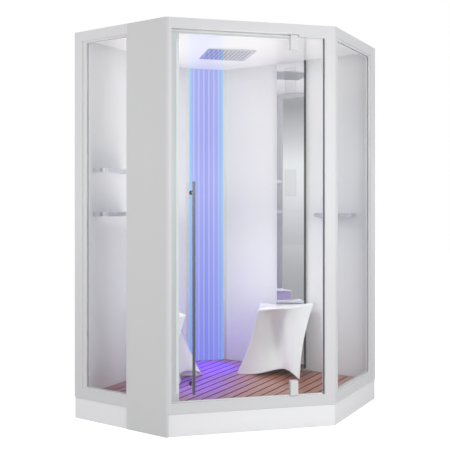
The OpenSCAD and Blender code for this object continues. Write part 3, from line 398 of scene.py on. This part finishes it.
MAKERS = {maker.__name__: maker for maker in (
    satin_aluminium, white_acrylic, wall_sheet, column_lacquer, clear_glass, opal_diffuser, polished_steel,
    polished_chrome, dark_chrome, satin_steel, teak, dark_teak, grey_rubber, black_plastic, clear_seal,
    zinc_steel, valve_brass, circuit_board, icon_lens, frosted_acrylic)}

# Widths of the softened edges of the visible profiles and boards
EDGES = {
    "satin_aluminium": 0.0012,
    "white_acrylic": 0.0025,
    "column_lacquer": 0.0020,
    "teak": 0.0008,
    "polished_chrome": 0.0006,
    "frosted_acrylic": 0.0008,
}


# Steps across a softened edge, and the least angle of an edge that is softened
EDGE_STEPS = 2
EDGE_ANGLE = math.radians(40)


def soften(obj, width):
    """A small rounded edge, as a modifier that leaves the CAD mesh as it is."""
    bevel = obj.modifiers.new("edge", "BEVEL")
    bevel.width = width
    bevel.segments = EDGE_STEPS
    bevel.limit_method = "ANGLE"
    bevel.angle_limit = EDGE_ANGLE
    bevel.use_clamp_overlap = True


# Stool form as in the part's source: the corners of its foot and seat, from an anchor near the back
# wall. z is the drop of a seat corner below the highest one.
STOOL_FOOT = (Vector((-0.205, -0.298, 0)), Vector((0.216, -0.237, 0)), Vector((0, 0, 0)))
STOOL_SEAT = (Vector((-0.045, -0.308, -0.030)), Vector((0.209, 0, 0)), Vector((-0.164, -0.060, -0.020)))
# Where along the front side its hollow is deepest at the foot and at the seat, and how wide it is
HOLLOW_FOOT = 0.72
HOLLOW_SEAT = 0.14
HOLLOW_WIDTH = 0.24
# Above 1, the hollow stays deep nearer to the seat
HOLLOW_RISE = 1.6
# How far the arches lean to their right end, how fast they fade upward, and the rear sides' share of them
ARCH_LEAN = 2.4
ARCH_FADE = 3
REAR_ARCH = 0.45
# Bow of the right side at mid height, and the thickness of the shell
RIGHT_BOW = 0.010
SHELL_WALL = 0.009
# How late the sides' dip sets in towards the seat, how deep the seat's middle lies, in dips, and the
# reach over which its edge is rounded
DIP_RISE = 3
MIDDLE_DIPS = 1.3
RIM_REACH = 0.15
# Rings up the side and across the seat, and the steps round a corner and over the rim
SIDE_RINGS = 30
SEAT_RINGS = 12
CORNER_STEPS = (0.2, 0.4, 0.6, 0.8)
RIM_STEPS = (0.15, 0.3, 0.5, 0.7, 0.85)
# Where the right stool's anchor stands, and how the left stool is turned and moved from there
STOOL_ANCHOR = Vector((0.070, 0.575, 0.130))
STOOL_PIVOT = Vector((0.075, 0.428, 0))
LEFT_STOOL_AT = Vector((-0.389, -0.082, 0))
LEFT_STOOL_TURN = math.radians(87.2)
# A hair's gap between foot and duckboard
FOOT_GAP = 0.0003


def hump(t):
    """0 at both ends, 1 in the middle."""
    return 4 * t * (1 - t)


def middle(corners):
    """The middle of three corners."""
    return (corners[0] + corners[1] + corners[2]) / 3


def inward(point, centre):
    """The level direction from a point towards the centre."""
    v = centre - point
    v.z = 0
    return v.normalized()


class StoolForm:
    """The twisted shell: a three-cornered foot that turns into a three-cornered seat."""

    def __init__(self, opts):
        self.height = opts.seat_height
        self.ridge = opts.ridge_bow
        self.front = opts.front_bow
        self.foot = opts.foot_bow
        self.arch = opts.arch_height
        self.dip = opts.seat_dip
        self.corner = opts.corner_radius
        self.rim = opts.rim_radius
        self.side_n = opts.side_steps
        self.foot_mid = middle(STOOL_FOOT)
        self.seat_mid = middle(STOOL_SEAT)

    def corner_point(self, i, h, g):
        """Corner i of the ring at height share h; g is how far inside the shell."""
        a = STOOL_FOOT[i].lerp(STOOL_SEAT[i], h)
        z = a.z * h
        a = a + inward(a, self.foot_mid.lerp(self.seat_mid, h)) * (g * 2 + self.ridge * hump(h))
        a.z = z
        return a

    def side_bow(self, i, u, h):
        """Inward bow of side i: the front side has a slanting hollow, the right side a plain one."""
        if i == 0:
            c = HOLLOW_FOOT + (HOLLOW_SEAT - HOLLOW_FOOT) * h
            share = (hump(u) / hump(c)) ** 2 * math.exp(-((u - c) / HOLLOW_WIDTH) ** 2)
            return share * (self.foot * (1 - h) + self.front * hump(h ** HOLLOW_RISE))
        return RIGHT_BOW * hump(u) ** 2 * hump(h) if i == 1 else 0.0

    def side_point(self, i, share, h, g):
        """A point of side i, bowed by its place u along the outer side."""
        a, b = self.corner_point(i, h, 0), self.corner_point((i + 1) % 3, h, 0)
        side = (b - a).to_2d()
        along = side.normalized()
        p = self.corner_point(i, h, g).lerp(self.corner_point((i + 1) % 3, h, g), share)
        u = min(max((p - a).to_2d().dot(along) / side.length, 0.0), 1.0)
        bow = self.side_bow(i, u, h)
        arch = self.arch * (1.0 if i == 0 else REAR_ARCH) * hump(u ** ARCH_LEAN) * (1 - h) ** ARCH_FADE
        lift = FOOT_GAP + self.height * h + arch - self.dip * hump(u) * h ** DIP_RISE
        return Vector((p.x - along.y * bow, p.y + along.x * bow, p.z + lift))

    def ring(self, h, g):
        """One closed ring of the shell with its three corners rounded."""
        out = []
        for i in range(3):
            before, after = (i + 2) % 3, (i + 1) % 3
            corner = self.corner_point(i, h, g)
            cut = self.corner / (self.corner_point(after, h, g) - corner).length
            back = self.corner / (self.corner_point(before, h, g) - corner).length
            a = self.side_point(before, 1 - back, h, g)
            c = self.side_point(i, 0, h, g)
            b = self.side_point(i, cut, h, g)
            for t in CORNER_STEPS:
                out.append(a.lerp(c, t).lerp(c.lerp(b, t), t))
            for k in range(self.side_n + 1):
                out.append(self.side_point(i, cut + (1 - 2 * cut) * k / self.side_n, h, g))
        return out

    def seat_ring(self, r, g, edge):
        """A ring of the seat surface that closes in on its middle as r goes from 1 to 0."""
        c = Vector((self.seat_mid.x, self.seat_mid.y, self.height - g - self.dip * MIDDLE_DIPS))
        return [Vector((c.x + (p.x - c.x) * r, c.y + (p.y - c.y) * r, c.z + (p.z - c.z) * r * r))
                for p in edge]

    def shell(self, g, rounding):
        """All rings of one shell, from the foot up over the rounded edge to the seat's middle."""
        top = 1 - g / self.height
        rings = [self.ring(j / SIDE_RINGS * top, g) for j in range(SIDE_RINGS - 1)]
        low = self.ring(top - rounding / self.height, g)
        edge = self.ring(top, g)
        share = 1 - rounding / RIM_REACH
        seat = self.seat_ring(share, g, edge)
        rings.append(low)
        for t in RIM_STEPS:
            rings.append([a.lerp(c, t).lerp(c.lerp(b, t), t) for a, c, b in zip(low, edge, seat)])
        rings += [self.seat_ring(share * r / SEAT_RINGS, g, edge) for r in range(SEAT_RINGS, 0, -1)]
        return rings


def stool_mesh(name, form):
    """The stool as one closed shell: outside, inside and the foot edge that joins them."""
    outer = form.shell(0.0, form.rim)
    inner = form.shell(SHELL_WALL, form.rim / 2)
    n = len(outer[0])
    points, faces = [], []
    for rings, g in ((outer, 0.0), (inner, SHELL_WALL)):
        start = len(points)
        points += [p for ring in rings for p in ring]
        points += form.seat_ring(0.0, g, rings[-1])[:1]
        turn = -1 if g else 1
        for j in range(len(rings) - 1):
            for k in range(n):
                a, b = start + j * n + k, start + j * n + (k + 1) % n
                faces.append((a, b, b + n, a + n)[::turn])
        last = start + (len(rings) - 1) * n
        faces += [(last + k, last + (k + 1) % n, last + n)[::turn] for k in range(n)]
    inside = len(outer) * n + 1
    faces += [(k, inside + k, inside + (k + 1) % n, (k + 1) % n) for k in range(n)]
    mesh = bpy.data.meshes.new(name)
    mesh.from_pydata([tuple(p) for p in points], [], faces)
    mesh.polygons.foreach_set("use_smooth", [True] * len(faces))
    foot = {(k, (k + 1) % n) for k in range(n)} | {(inside + k, inside + (k + 1) % n) for k in range(n)}
    foot = {tuple(sorted(pair)) for pair in foot}
    for edge in mesh.edges:
        edge.use_edge_sharp = tuple(sorted(edge.vertices)) in foot
    mesh.update()
    obj = bpy.data.objects.new(name, mesh)
    bpy.context.scene.collection.objects.link(obj)
    return obj


class CabinStools(bpy.types.PropertyGroup):
    seat_height: bpy.props.FloatProperty(name="Seat Height", default=0.449, min=0.3, max=0.6, unit="LENGTH",
                                         description="Height of the highest seat corner above the duckboard")
    ridge_bow: bpy.props.FloatProperty(name="Ridge Bow", default=0.020, min=0.0, max=0.05, unit="LENGTH",
                                       description="Inward bow of the three ridges at mid height")
    front_bow: bpy.props.FloatProperty(name="Front Bow", default=0.054, min=0.0, max=0.08, unit="LENGTH",
                                       description="Depth of the front side's hollow at mid height")
    foot_bow: bpy.props.FloatProperty(name="Foot Bow", default=0.060, min=0.0, max=0.07, unit="LENGTH",
                                      description="Depth of the front side's hollow at the foot")
    arch_height: bpy.props.FloatProperty(name="Arch Height", default=0.045, min=0.0, max=0.1, unit="LENGTH",
                                         description="Rise of the arches at the foot")
    seat_dip: bpy.props.FloatProperty(name="Seat Dip", default=0.012, min=0.0, max=0.05, unit="LENGTH",
                                      description="Dip of the seat between its corners")
    corner_radius: bpy.props.FloatProperty(name="Corner Radius", default=0.013, min=0.001, max=0.03,
                                           unit="LENGTH", description="Rounding of the three ridges")
    rim_radius: bpy.props.FloatProperty(name="Rim Radius", default=0.016, min=0.001, max=0.04, unit="LENGTH",
                                        description="Rounding of the seat's edge")
    side_steps: bpy.props.IntProperty(name="Side Steps", default=28, min=8, max=80,
                                      description="Points along each side")


class CabinFinish(bpy.types.PropertyGroup):
    edge_scale: bpy.props.FloatProperty(name="Edge Scale", default=1.0, min=0.0, max=2.0,
                                        description="Factor on the rounded edges")
    frame_colour: bpy.props.FloatVectorProperty(
        name="Frame Colour", default=linear("e4e4e6"), size=4, min=0.0, max=1.0, subtype="COLOR",
        description="Colour of posts, rails and beams")
    acrylic_colour: bpy.props.FloatVectorProperty(
        name="Acrylic Colour", default=linear("eeeef0"), size=4, min=0.0, max=1.0, subtype="COLOR",
        description="Colour of tray, plinth and stools")
    wall_colour: bpy.props.FloatVectorProperty(
        name="Wall Colour", default=linear("e2e2e6"), size=4, min=0.0, max=1.0, subtype="COLOR",
        description="Colour of the wall sheets")
    column_colour: bpy.props.FloatVectorProperty(
        name="Column Colour", default=linear("d4d4d5"), size=4, min=0.0, max=1.0, subtype="COLOR",
        description="Colour of the service column's cover")
    handle_colour: bpy.props.FloatVectorProperty(
        name="Handle Colour", default=linear("9a9aa0"), size=4, min=0.0, max=1.0, subtype="COLOR",
        description="Colour of the handle's plating")
    teak_colour: bpy.props.FloatVectorProperty(
        name="Teak Colour", default=linear("a9664f"), size=4, min=0.0, max=1.0, subtype="COLOR",
        description="Main colour of the slats")
    teak_streak_colour: bpy.props.FloatVectorProperty(
        name="Teak Streak Colour", default=linear("824a38"), size=4, min=0.0, max=1.0, subtype="COLOR",
        description="Colour of the slats' darker streaks")
    glow_colour: bpy.props.FloatVectorProperty(
        name="Glow Colour", default=linear("a0a6f8"), size=4, min=0.0, max=1.0, subtype="COLOR",
        description="Colour of the light column's middle")
    glow_edge_colour: bpy.props.FloatVectorProperty(
        name="Glow Edge Colour", default=linear("9ae2ff"), size=4, min=0.0, max=1.0, subtype="COLOR",
        description="Colour of the light column's two edges")


class CabinStage(bpy.types.PropertyGroup):
    key_power: bpy.props.FloatProperty(name="Key Power", default=26.0, unit="POWER",
                                       description="Power of the large lamp at the left front")
    fill_power: bpy.props.FloatProperty(name="Fill Power", default=50.0, unit="POWER",
                                        description="Power of the large lamp at the right front")
    room_light: bpy.props.FloatProperty(name="Room Light", default=0.60, min=0.0, max=2.0,
                                        description="Strength of the plain light from all round")
    ceiling_power: bpy.props.FloatProperty(name="Ceiling Power", default=5.0, unit="POWER",
                                           description="Power of the light that reaches the ceiling")
    cabin_power: bpy.props.FloatProperty(name="Cabin Power", default=0.8, unit="POWER",
                                         description="Power of the soft light under the ceiling")
    wall_power: bpy.props.FloatProperty(name="Wall Power", default=1.4, unit="POWER",
                                        description="Power of the soft light on the two walls")
    inner_power: bpy.props.FloatProperty(name="Inner Power", default=2.3, unit="POWER",
                                         description="Power of the slanting light on the right stool")
    floor_power: bpy.props.FloatProperty(name="Floor Power", default=9.0, unit="POWER",
                                         description="Power of the violet light on the duckboard")
    glow_power: bpy.props.FloatProperty(name="Glow Power", default=0.6, unit="POWER",
                                        description="Power of the violet light at the light column")
    studio_colour: bpy.props.FloatVectorProperty(
        name="Studio Colour", default=linear("ffffff")[:3], size=3, min=0.0, max=1.0, subtype="COLOR",
        description="Colour of the plain lamps")
    warm_colour: bpy.props.FloatVectorProperty(
        name="Warm Colour", default=linear("fff8e8")[:3], size=3, min=0.0, max=1.0, subtype="COLOR",
        description="Colour of the soft lights inside the cabin")
    violet_colour: bpy.props.FloatVectorProperty(
        name="Violet Colour", default=linear("8c86ff")[:3], size=3, min=0.0, max=1.0, subtype="COLOR",
        description="Colour of the light at the light column")
    floor_colour: bpy.props.FloatVectorProperty(
        name="Floor Light Colour", default=linear("1c00ff")[:3], size=3, min=0.0, max=1.0, subtype="COLOR",
        description="Colour of the light on the duckboard")


# Names of the materials made so far, by slot
MADE = {}


def finish_piece(name, look):
    """Gives one CAD node the material of its slot, shared by all its pieces, and its rounded edge."""
    slot = SLOT_OF.get(name)
    if slot not in MAKERS:
        raise RuntimeError(f"node {name} has no finish for slot {slot}")
    material = bpy.data.materials.get(MADE.get(slot, ""))
    if material is None:
        material = MAKERS[slot](look)
        MADE[slot] = material.name
    obj = nodes[name]
    obj.data.materials.clear()
    obj.data.materials.append(material)
    if slot in EDGES and EDGES[slot] * look.edge_scale > 0:
        soften(obj, EDGES[slot] * look.edge_scale)
    return material


class PieceGroup:
    """What the operators for groups of CAD nodes share: each names its pieces."""
    pieces = ()

    def execute(self, context):
        for name in self.pieces:
            finish_piece(name, context.scene.cabin_finish)
        return {"FINISHED"}


class CABIN_OT_frame(PieceGroup, bpy.types.Operator):
    """Finishes the posts, rails, beams and bead strips"""
    bl_idname = "cabin.frame"
    bl_label = "Finish the Frame"
    pieces = ("post_left", "post_column", "post_corner", "post_right", "rail_left", "rail_front",
              "rail_right", "beam_left", "beam_front", "beam_right", "beads_left", "beads_right",
              "roof_rails")


class CABIN_OT_shell(PieceGroup, bpy.types.Operator):
    """Finishes the tray with its plinth and feet, the walls and the ceiling"""
    bl_idname = "cabin.shell"
    bl_label = "Finish the Shell"
    pieces = ("tray", "plinth_panels", "tray_frame", "levelling_feet", "wall_back", "wall_left",
              "wall_studs", "ceiling")


class CABIN_OT_panes(PieceGroup, bpy.types.Operator):
    """Finishes the two fixed panes"""
    bl_idname = "cabin.panes"
    bl_label = "Finish the Fixed Panes"
    pieces = ("glass_left", "glass_right")


class CABIN_OT_door(PieceGroup, bpy.types.Operator):
    """Finishes the pivot door with its seals, clamps, pins and handle"""
    bl_idname = "cabin.door"
    bl_label = "Finish the Door"
    pieces = ("door_glass", "door_seals", "pivot_clamps", "clamp_screws", "pivot_pins", "handle_bar",
              "handle_rosettes")


class CABIN_OT_service_column(PieceGroup, bpy.types.Operator):
    """Finishes the service column's cover, chassis, icons and board"""
    bl_idname = "cabin.service_column"
    bl_label = "Finish the Service Column"
    pieces = ("column_cover", "column_chassis", "touch_icons", "control_board")


class CABIN_OT_light_column(PieceGroup, bpy.types.Operator):
    """Finishes the fluted light column with its trims, strips, light box and driver"""
    bl_idname = "cabin.light_column"
    bl_label = "Finish the Light Column"
    pieces = ("led_diffuser", "led_trims", "led_strips", "led_backplate", "led_driver")


class CABIN_OT_fittings(PieceGroup, bpy.types.Operator):
    """Finishes the steel panel with its jets, the rain head and the shelves"""
    bl_idname = "cabin.fittings"
    bl_label = "Finish the Fittings"
    pieces = ("shower_panel", "jet_nozzles", "rain_head", "rain_nozzles", "shelf_rails", "shelf_plates")


class CABIN_OT_duckboard(PieceGroup, bpy.types.Operator):
    """Finishes the duckboard's slats and battens"""
    bl_idname = "cabin.duckboard"
    bl_label = "Finish the Duckboard"
    pieces = ("teak_slats", "teak_battens")


class CABIN_OT_services(PieceGroup, bpy.types.Operator):
    """Finishes the drain, valves, pipes, jet chambers and steam generator"""
    bl_idname = "cabin.services"
    bl_label = "Finish the Services"
    pieces = ("drain_grate", "drain_trap", "inlet_pipes", "mixing_valve", "solenoid_valves", "rain_pipe",
              "jet_pipe", "jet_chambers", "steam_generator", "steam_outlet", "cable_gland")


class CABIN_OT_stools(bpy.types.Operator):
    """Builds both moulded stools with smooth sides and rounded ridges"""
    bl_idname = "cabin.stools"
    bl_label = "Build the Stools"

    def execute(self, context):
        form = StoolForm(context.scene.cabin_stools)
        for node, body in (("stool_right", "right_stool"), ("stool_left", "left_stool")):
            acrylic = finish_piece(node, context.scene.cabin_finish)
            obj = stool_mesh("moulded_" + node, form)
            obj.data.transform(Matrix.Translation(STOOL_ANCHOR))
            if node == "stool_left":
                obj.data.transform(Matrix.Translation(LEFT_STOOL_AT)
                                   @ Matrix.Rotation(LEFT_STOOL_TURN, 4, "Z")
                                   @ Matrix.Translation(-STOOL_PIVOT))
            obj.data.materials.append(acrylic)
            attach(obj, body)
            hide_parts(node)
        return {"FINISHED"}


# Two large soft lamps in front, then the lights inside the cabin. Each lamp: name, place, aim, size,
# property of its power and share of it, property of its colour, spread in degrees, and the nodes
# that it reaches when it doesn't reach all
LAMPS = (
    ("key_lamp", (-2.2, -3.2, 2.0), (0, 0, 1.0), (2.4, 2.4), "key_power", 1.0, "studio_colour", 180, ()),
    ("fill_lamp", (3.4, -1.6, 1.6), (0, 0, 0.9), (2.0, 2.4), "fill_power", 1.0, "studio_colour", 180, ()),
    ("ceiling_glow", (-0.08, -0.05, 1.0), (-0.08, -0.05, 2.1), (0.9, 0.9), "ceiling_power", 1.0,
     "warm_colour", 115, ()),
    ("cabin_light", (0, 0, 2.13), (0, 0, 0), (0.9, 0.9), "cabin_power", 1.0, "warm_colour", 180, ()),
    ("wall_light", (0.15, -0.20, 0.62), (-0.65, 0.65, 0.62), (0.6, 0.6), "wall_power", 1.0,
     "warm_colour", 180, ("wall_back", "wall_left")),
    ("inner_key", (-0.30, -0.40, 1.75), (0.12, 0.35, 0.35), (0.35, 0.35), "inner_power", 1.0,
     "studio_colour", 75, ()),
    ("column_glow", (-0.47, 0.47, 1.1), (0, 0, 1.1), (0.26, 1.9), "glow_power", 1.0,
     "violet_colour", 180, ()),
    ("floor_glow", (-0.36, 0.33, 0.50), (-0.36, 0.33, 0.13), (0.28, 0.28), "floor_power", 1.0,
     "floor_colour", 70, ("teak_slats",)),
    ("floor_glow_wide", (-0.26, -0.10, 0.55), (-0.26, -0.10, 0.13), (0.44, 0.44), "floor_power", 0.9,
     "floor_colour", 70, ("teak_slats",)),
)

# The floor lies a hair below the levelling feet, and glows a little for the camera alone
FLOOR_SIZE = 30
FLOOR_DROP = 0.0005
FLOOR_GLOW = 0.5

# What a mirror sees of the floor, from the cabin outward, and of the room, from straight down (0)
# past a bright band at eye level to straight up (1)
MIRRORED_FLOOR = [(0.1, "a0a0a2"), (0.3, "b0b0b2"), (1.0, "cfcfd1")]
MIRRORED_ROOM = [
    (0.40, "9c9c9e"), (0.46, "b4b4b6"), (0.50, "e6e6e8"), (0.512, "f4f4f6"), (0.53, "fafafa"),
    (0.545, "dcdcde"), (0.57, "a4a4a6"), (0.60, "d0d0d2"), (0.75, "c0c0c2"), (0.9, "ececec")]

# Camera measured from the photograph's vanishing lines
CAMERA_AT = (2.1279, -3.5907, 1.2006)
CAMERA_TURN = (math.radians(90), 0, math.radians(32.55))
LENS_MM = 56.12
SENSOR_MM = 36.0
SHIFT = (0.0361, -0.0427)


def area_lamp(name, stands_at, aim, size, power, colour, spread, lit):
    """A soft rectangular lamp that faces a point and shows in no picture or mirror."""
    data = bpy.data.lights.new(name, "AREA")
    data.shape = "RECTANGLE"
    data.size, data.size_y = size
    data.energy = power
    data.spread = math.radians(spread)
    data.color = colour
    obj = bpy.data.objects.new(name, data)
    obj.location = stands_at
    obj.rotation_euler = (Vector(aim) - Vector(stands_at)).to_track_quat("-Z", "Y").to_euler()
    obj.visible_camera = False
    obj.visible_glossy = False
    obj.visible_transmission = False
    bpy.context.scene.collection.objects.link(obj)
    if lit:
        reach = bpy.data.collections.new(name + "_reach")
        obj.light_linking.receiver_collection = reach
        for node in lit:
            reach.objects.link(nodes[node])


def ray_kinds(tree):
    """Two factors: rays that see the surround straight or through glass, and rays off a mirror."""
    path = add_node(tree, "ShaderNodeLightPath").outputs
    # Half a bounce parts none from one
    bounced = path["Glossy Depth"]
    fresh = add_node(tree, MATH, {0: bounced, 1: 0.5}, operation="LESS_THAN")
    through = add_node(tree, MATH, {0: path["Is Transmission Ray"], 1: fresh}, operation="MULTIPLY")
    straight = add_node(tree, MATH, {0: path["Is Camera Ray"], 1: through}, operation="MAXIMUM")
    used = add_node(tree, MATH, {0: bounced, 1: 0.5}, operation="GREATER_THAN")
    behind = add_node(tree, MATH, {0: path["Is Transmission Ray"], 1: used}, operation="MULTIPLY")
    mirrored = add_node(tree, MATH, {0: path["Is Glossy Ray"], 1: behind}, operation="MAXIMUM")
    return straight, mirrored


def studio_floor():
    """Pale floor that keeps the cabin's shadow and fades into the white surround."""
    bpy.ops.mesh.primitive_plane_add(size=FLOOR_SIZE, location=(0, 0, -FLOOR_DROP))
    floor = bpy.context.active_object
    floor.name = "studio_floor"
    m, t = new_material("pale_studio_floor")
    straight, mirrored = ray_kinds(t)
    matte = add_node(t, "ShaderNodeBsdfDiffuse", {"Color": "f4f4f4"})
    share = add_node(t, MATH, {0: straight, 1: FLOOR_GLOW}, operation="MULTIPLY")
    glow = add_node(t, "ShaderNodeEmission", {"Strength": share})
    bright = add_node(t, "ShaderNodeAddShader", {0: matte, 1: glow})
    here = add_node(t, "ShaderNodeTexCoord").outputs["Object"]
    away = add_node(t, "ShaderNodeVectorMath", {0: here}, operation="LENGTH").outputs["Value"]
    outward = add_node(t, MATH, {0: away, 1: FLOOR_SIZE / 2}, operation="DIVIDE")
    fade = add_node(t, "ShaderNodeValToRGB", {"Fac": outward}, stops=MIRRORED_FLOOR)
    grey = add_node(t, "ShaderNodeEmission", {"Color": fade})
    surface = add_node(t, "ShaderNodeMixShader", {"Fac": mirrored, 1: bright, 2: grey})
    add_node(t, "ShaderNodeOutputMaterial", {"Surface": surface})
    floor.data.materials.append(m)


def studio_world(scene, strength):
    """White surround for the camera and glass, a graded one for mirrors, and plain light for the rest."""
    world = bpy.data.worlds.new("studio_world")
    scene.world = world
    world.use_nodes = True
    t = world.node_tree
    t.nodes.clear()
    straight, mirrored = ray_kinds(t)
    direction = add_node(t, "ShaderNodeTexCoord").outputs["Generated"]
    up = add_node(t, "ShaderNodeSeparateXYZ", {0: direction}).outputs["Z"]
    half = add_node(t, MATH, {0: up, 1: 0.5}, operation="MULTIPLY")
    height = add_node(t, MATH, {0: half, 1: 0.5}, operation="ADD")
    room = add_node(t, "ShaderNodeValToRGB", {"Fac": height}, stops=MIRRORED_ROOM)
    plain = add_node(t, "ShaderNodeMix", {"Factor": mirrored, 6: (strength, strength, strength, 1), 7: room},
                     data_type="RGBA").outputs[2]
    shown = add_node(t, "ShaderNodeMix", {"Factor": straight, 6: plain, 7: "ffffff"},
                     data_type="RGBA").outputs[2]
    back = add_node(t, "ShaderNodeBackground", {"Color": shown})
    add_node(t, "ShaderNodeOutputWorld", {"Surface": back})


def photo_camera(scene):
    """The camera at the photograph's viewing angle."""
    data = bpy.data.cameras.new("photo_camera")
    data.sensor_width = SENSOR_MM
    data.lens = LENS_MM
    data.shift_x, data.shift_y = SHIFT
    camera = bpy.data.objects.new("photo_camera", data)
    camera.location = CAMERA_AT
    camera.rotation_euler = CAMERA_TURN
    scene.collection.objects.link(camera)
    scene.camera = camera


class CABIN_OT_studio(bpy.types.Operator):
    """Floor, white surround, lamps and the camera at the photograph's angle"""
    bl_idname = "cabin.studio"
    bl_label = "Build the Studio"

    def execute(self, context):
        opts = context.scene.cabin_stage
        context.scene.view_settings.view_transform = "Standard"
        studio_floor()
        studio_world(context.scene, opts.room_light)
        for name, stands_at, aim, size, power, share, colour, spread, lit in LAMPS:
            area_lamp(name, stands_at, aim, size, getattr(opts, power) * share, getattr(opts, colour),
                      spread, lit)
        photo_camera(context.scene)
        return {"FINISHED"}


class CABIN_PT_panel(bpy.types.Panel):
    bl_label = "Shower Cabin"
    bl_idname = "CABIN_PT_panel"
    bl_space_type = "VIEW_3D"
    bl_region_type = "UI"
    bl_category = "Cabin"

    def draw(self, context):
        for group in ("cabin_finish", "cabin_stools", "cabin_stage"):
            settings = getattr(context.scene, group)
            for key in settings.__annotations__:
                self.layout.prop(settings, key)
        for operator in OPERATORS:
            self.layout.operator(operator.bl_idname)


OPERATORS = (CABIN_OT_frame, CABIN_OT_shell, CABIN_OT_panes, CABIN_OT_door, CABIN_OT_service_column,
             CABIN_OT_light_column, CABIN_OT_fittings, CABIN_OT_duckboard, CABIN_OT_services,
             CABIN_OT_stools, CABIN_OT_studio)
CLASSES = (CabinFinish, CabinStools, CabinStage, *OPERATORS, CABIN_PT_panel)


def register():
    for c in CLASSES:
        bpy.utils.register_class(c)
    bpy.types.Scene.cabin_finish = bpy.props.PointerProperty(type=CabinFinish)
    bpy.types.Scene.cabin_stools = bpy.props.PointerProperty(type=CabinStools)
    bpy.types.Scene.cabin_stage = bpy.props.PointerProperty(type=CabinStage)


def unregister():
    del bpy.types.Scene.cabin_stage
    del bpy.types.Scene.cabin_stools
    del bpy.types.Scene.cabin_finish
    for c in reversed(CLASSES):
        bpy.utils.unregister_class(c)


def main():
    register()
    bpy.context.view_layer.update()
    bpy.ops.cabin.frame()
    bpy.ops.cabin.shell()
    bpy.ops.cabin.panes()
    bpy.ops.cabin.door()
    bpy.ops.cabin.service_column()
    bpy.ops.cabin.light_column()
    bpy.ops.cabin.fittings()
    bpy.ops.cabin.duckboard()
    bpy.ops.cabin.services()
    bpy.ops.cabin.stools()
    bpy.ops.cabin.studio()


if __name__ == "__main__":
    main()
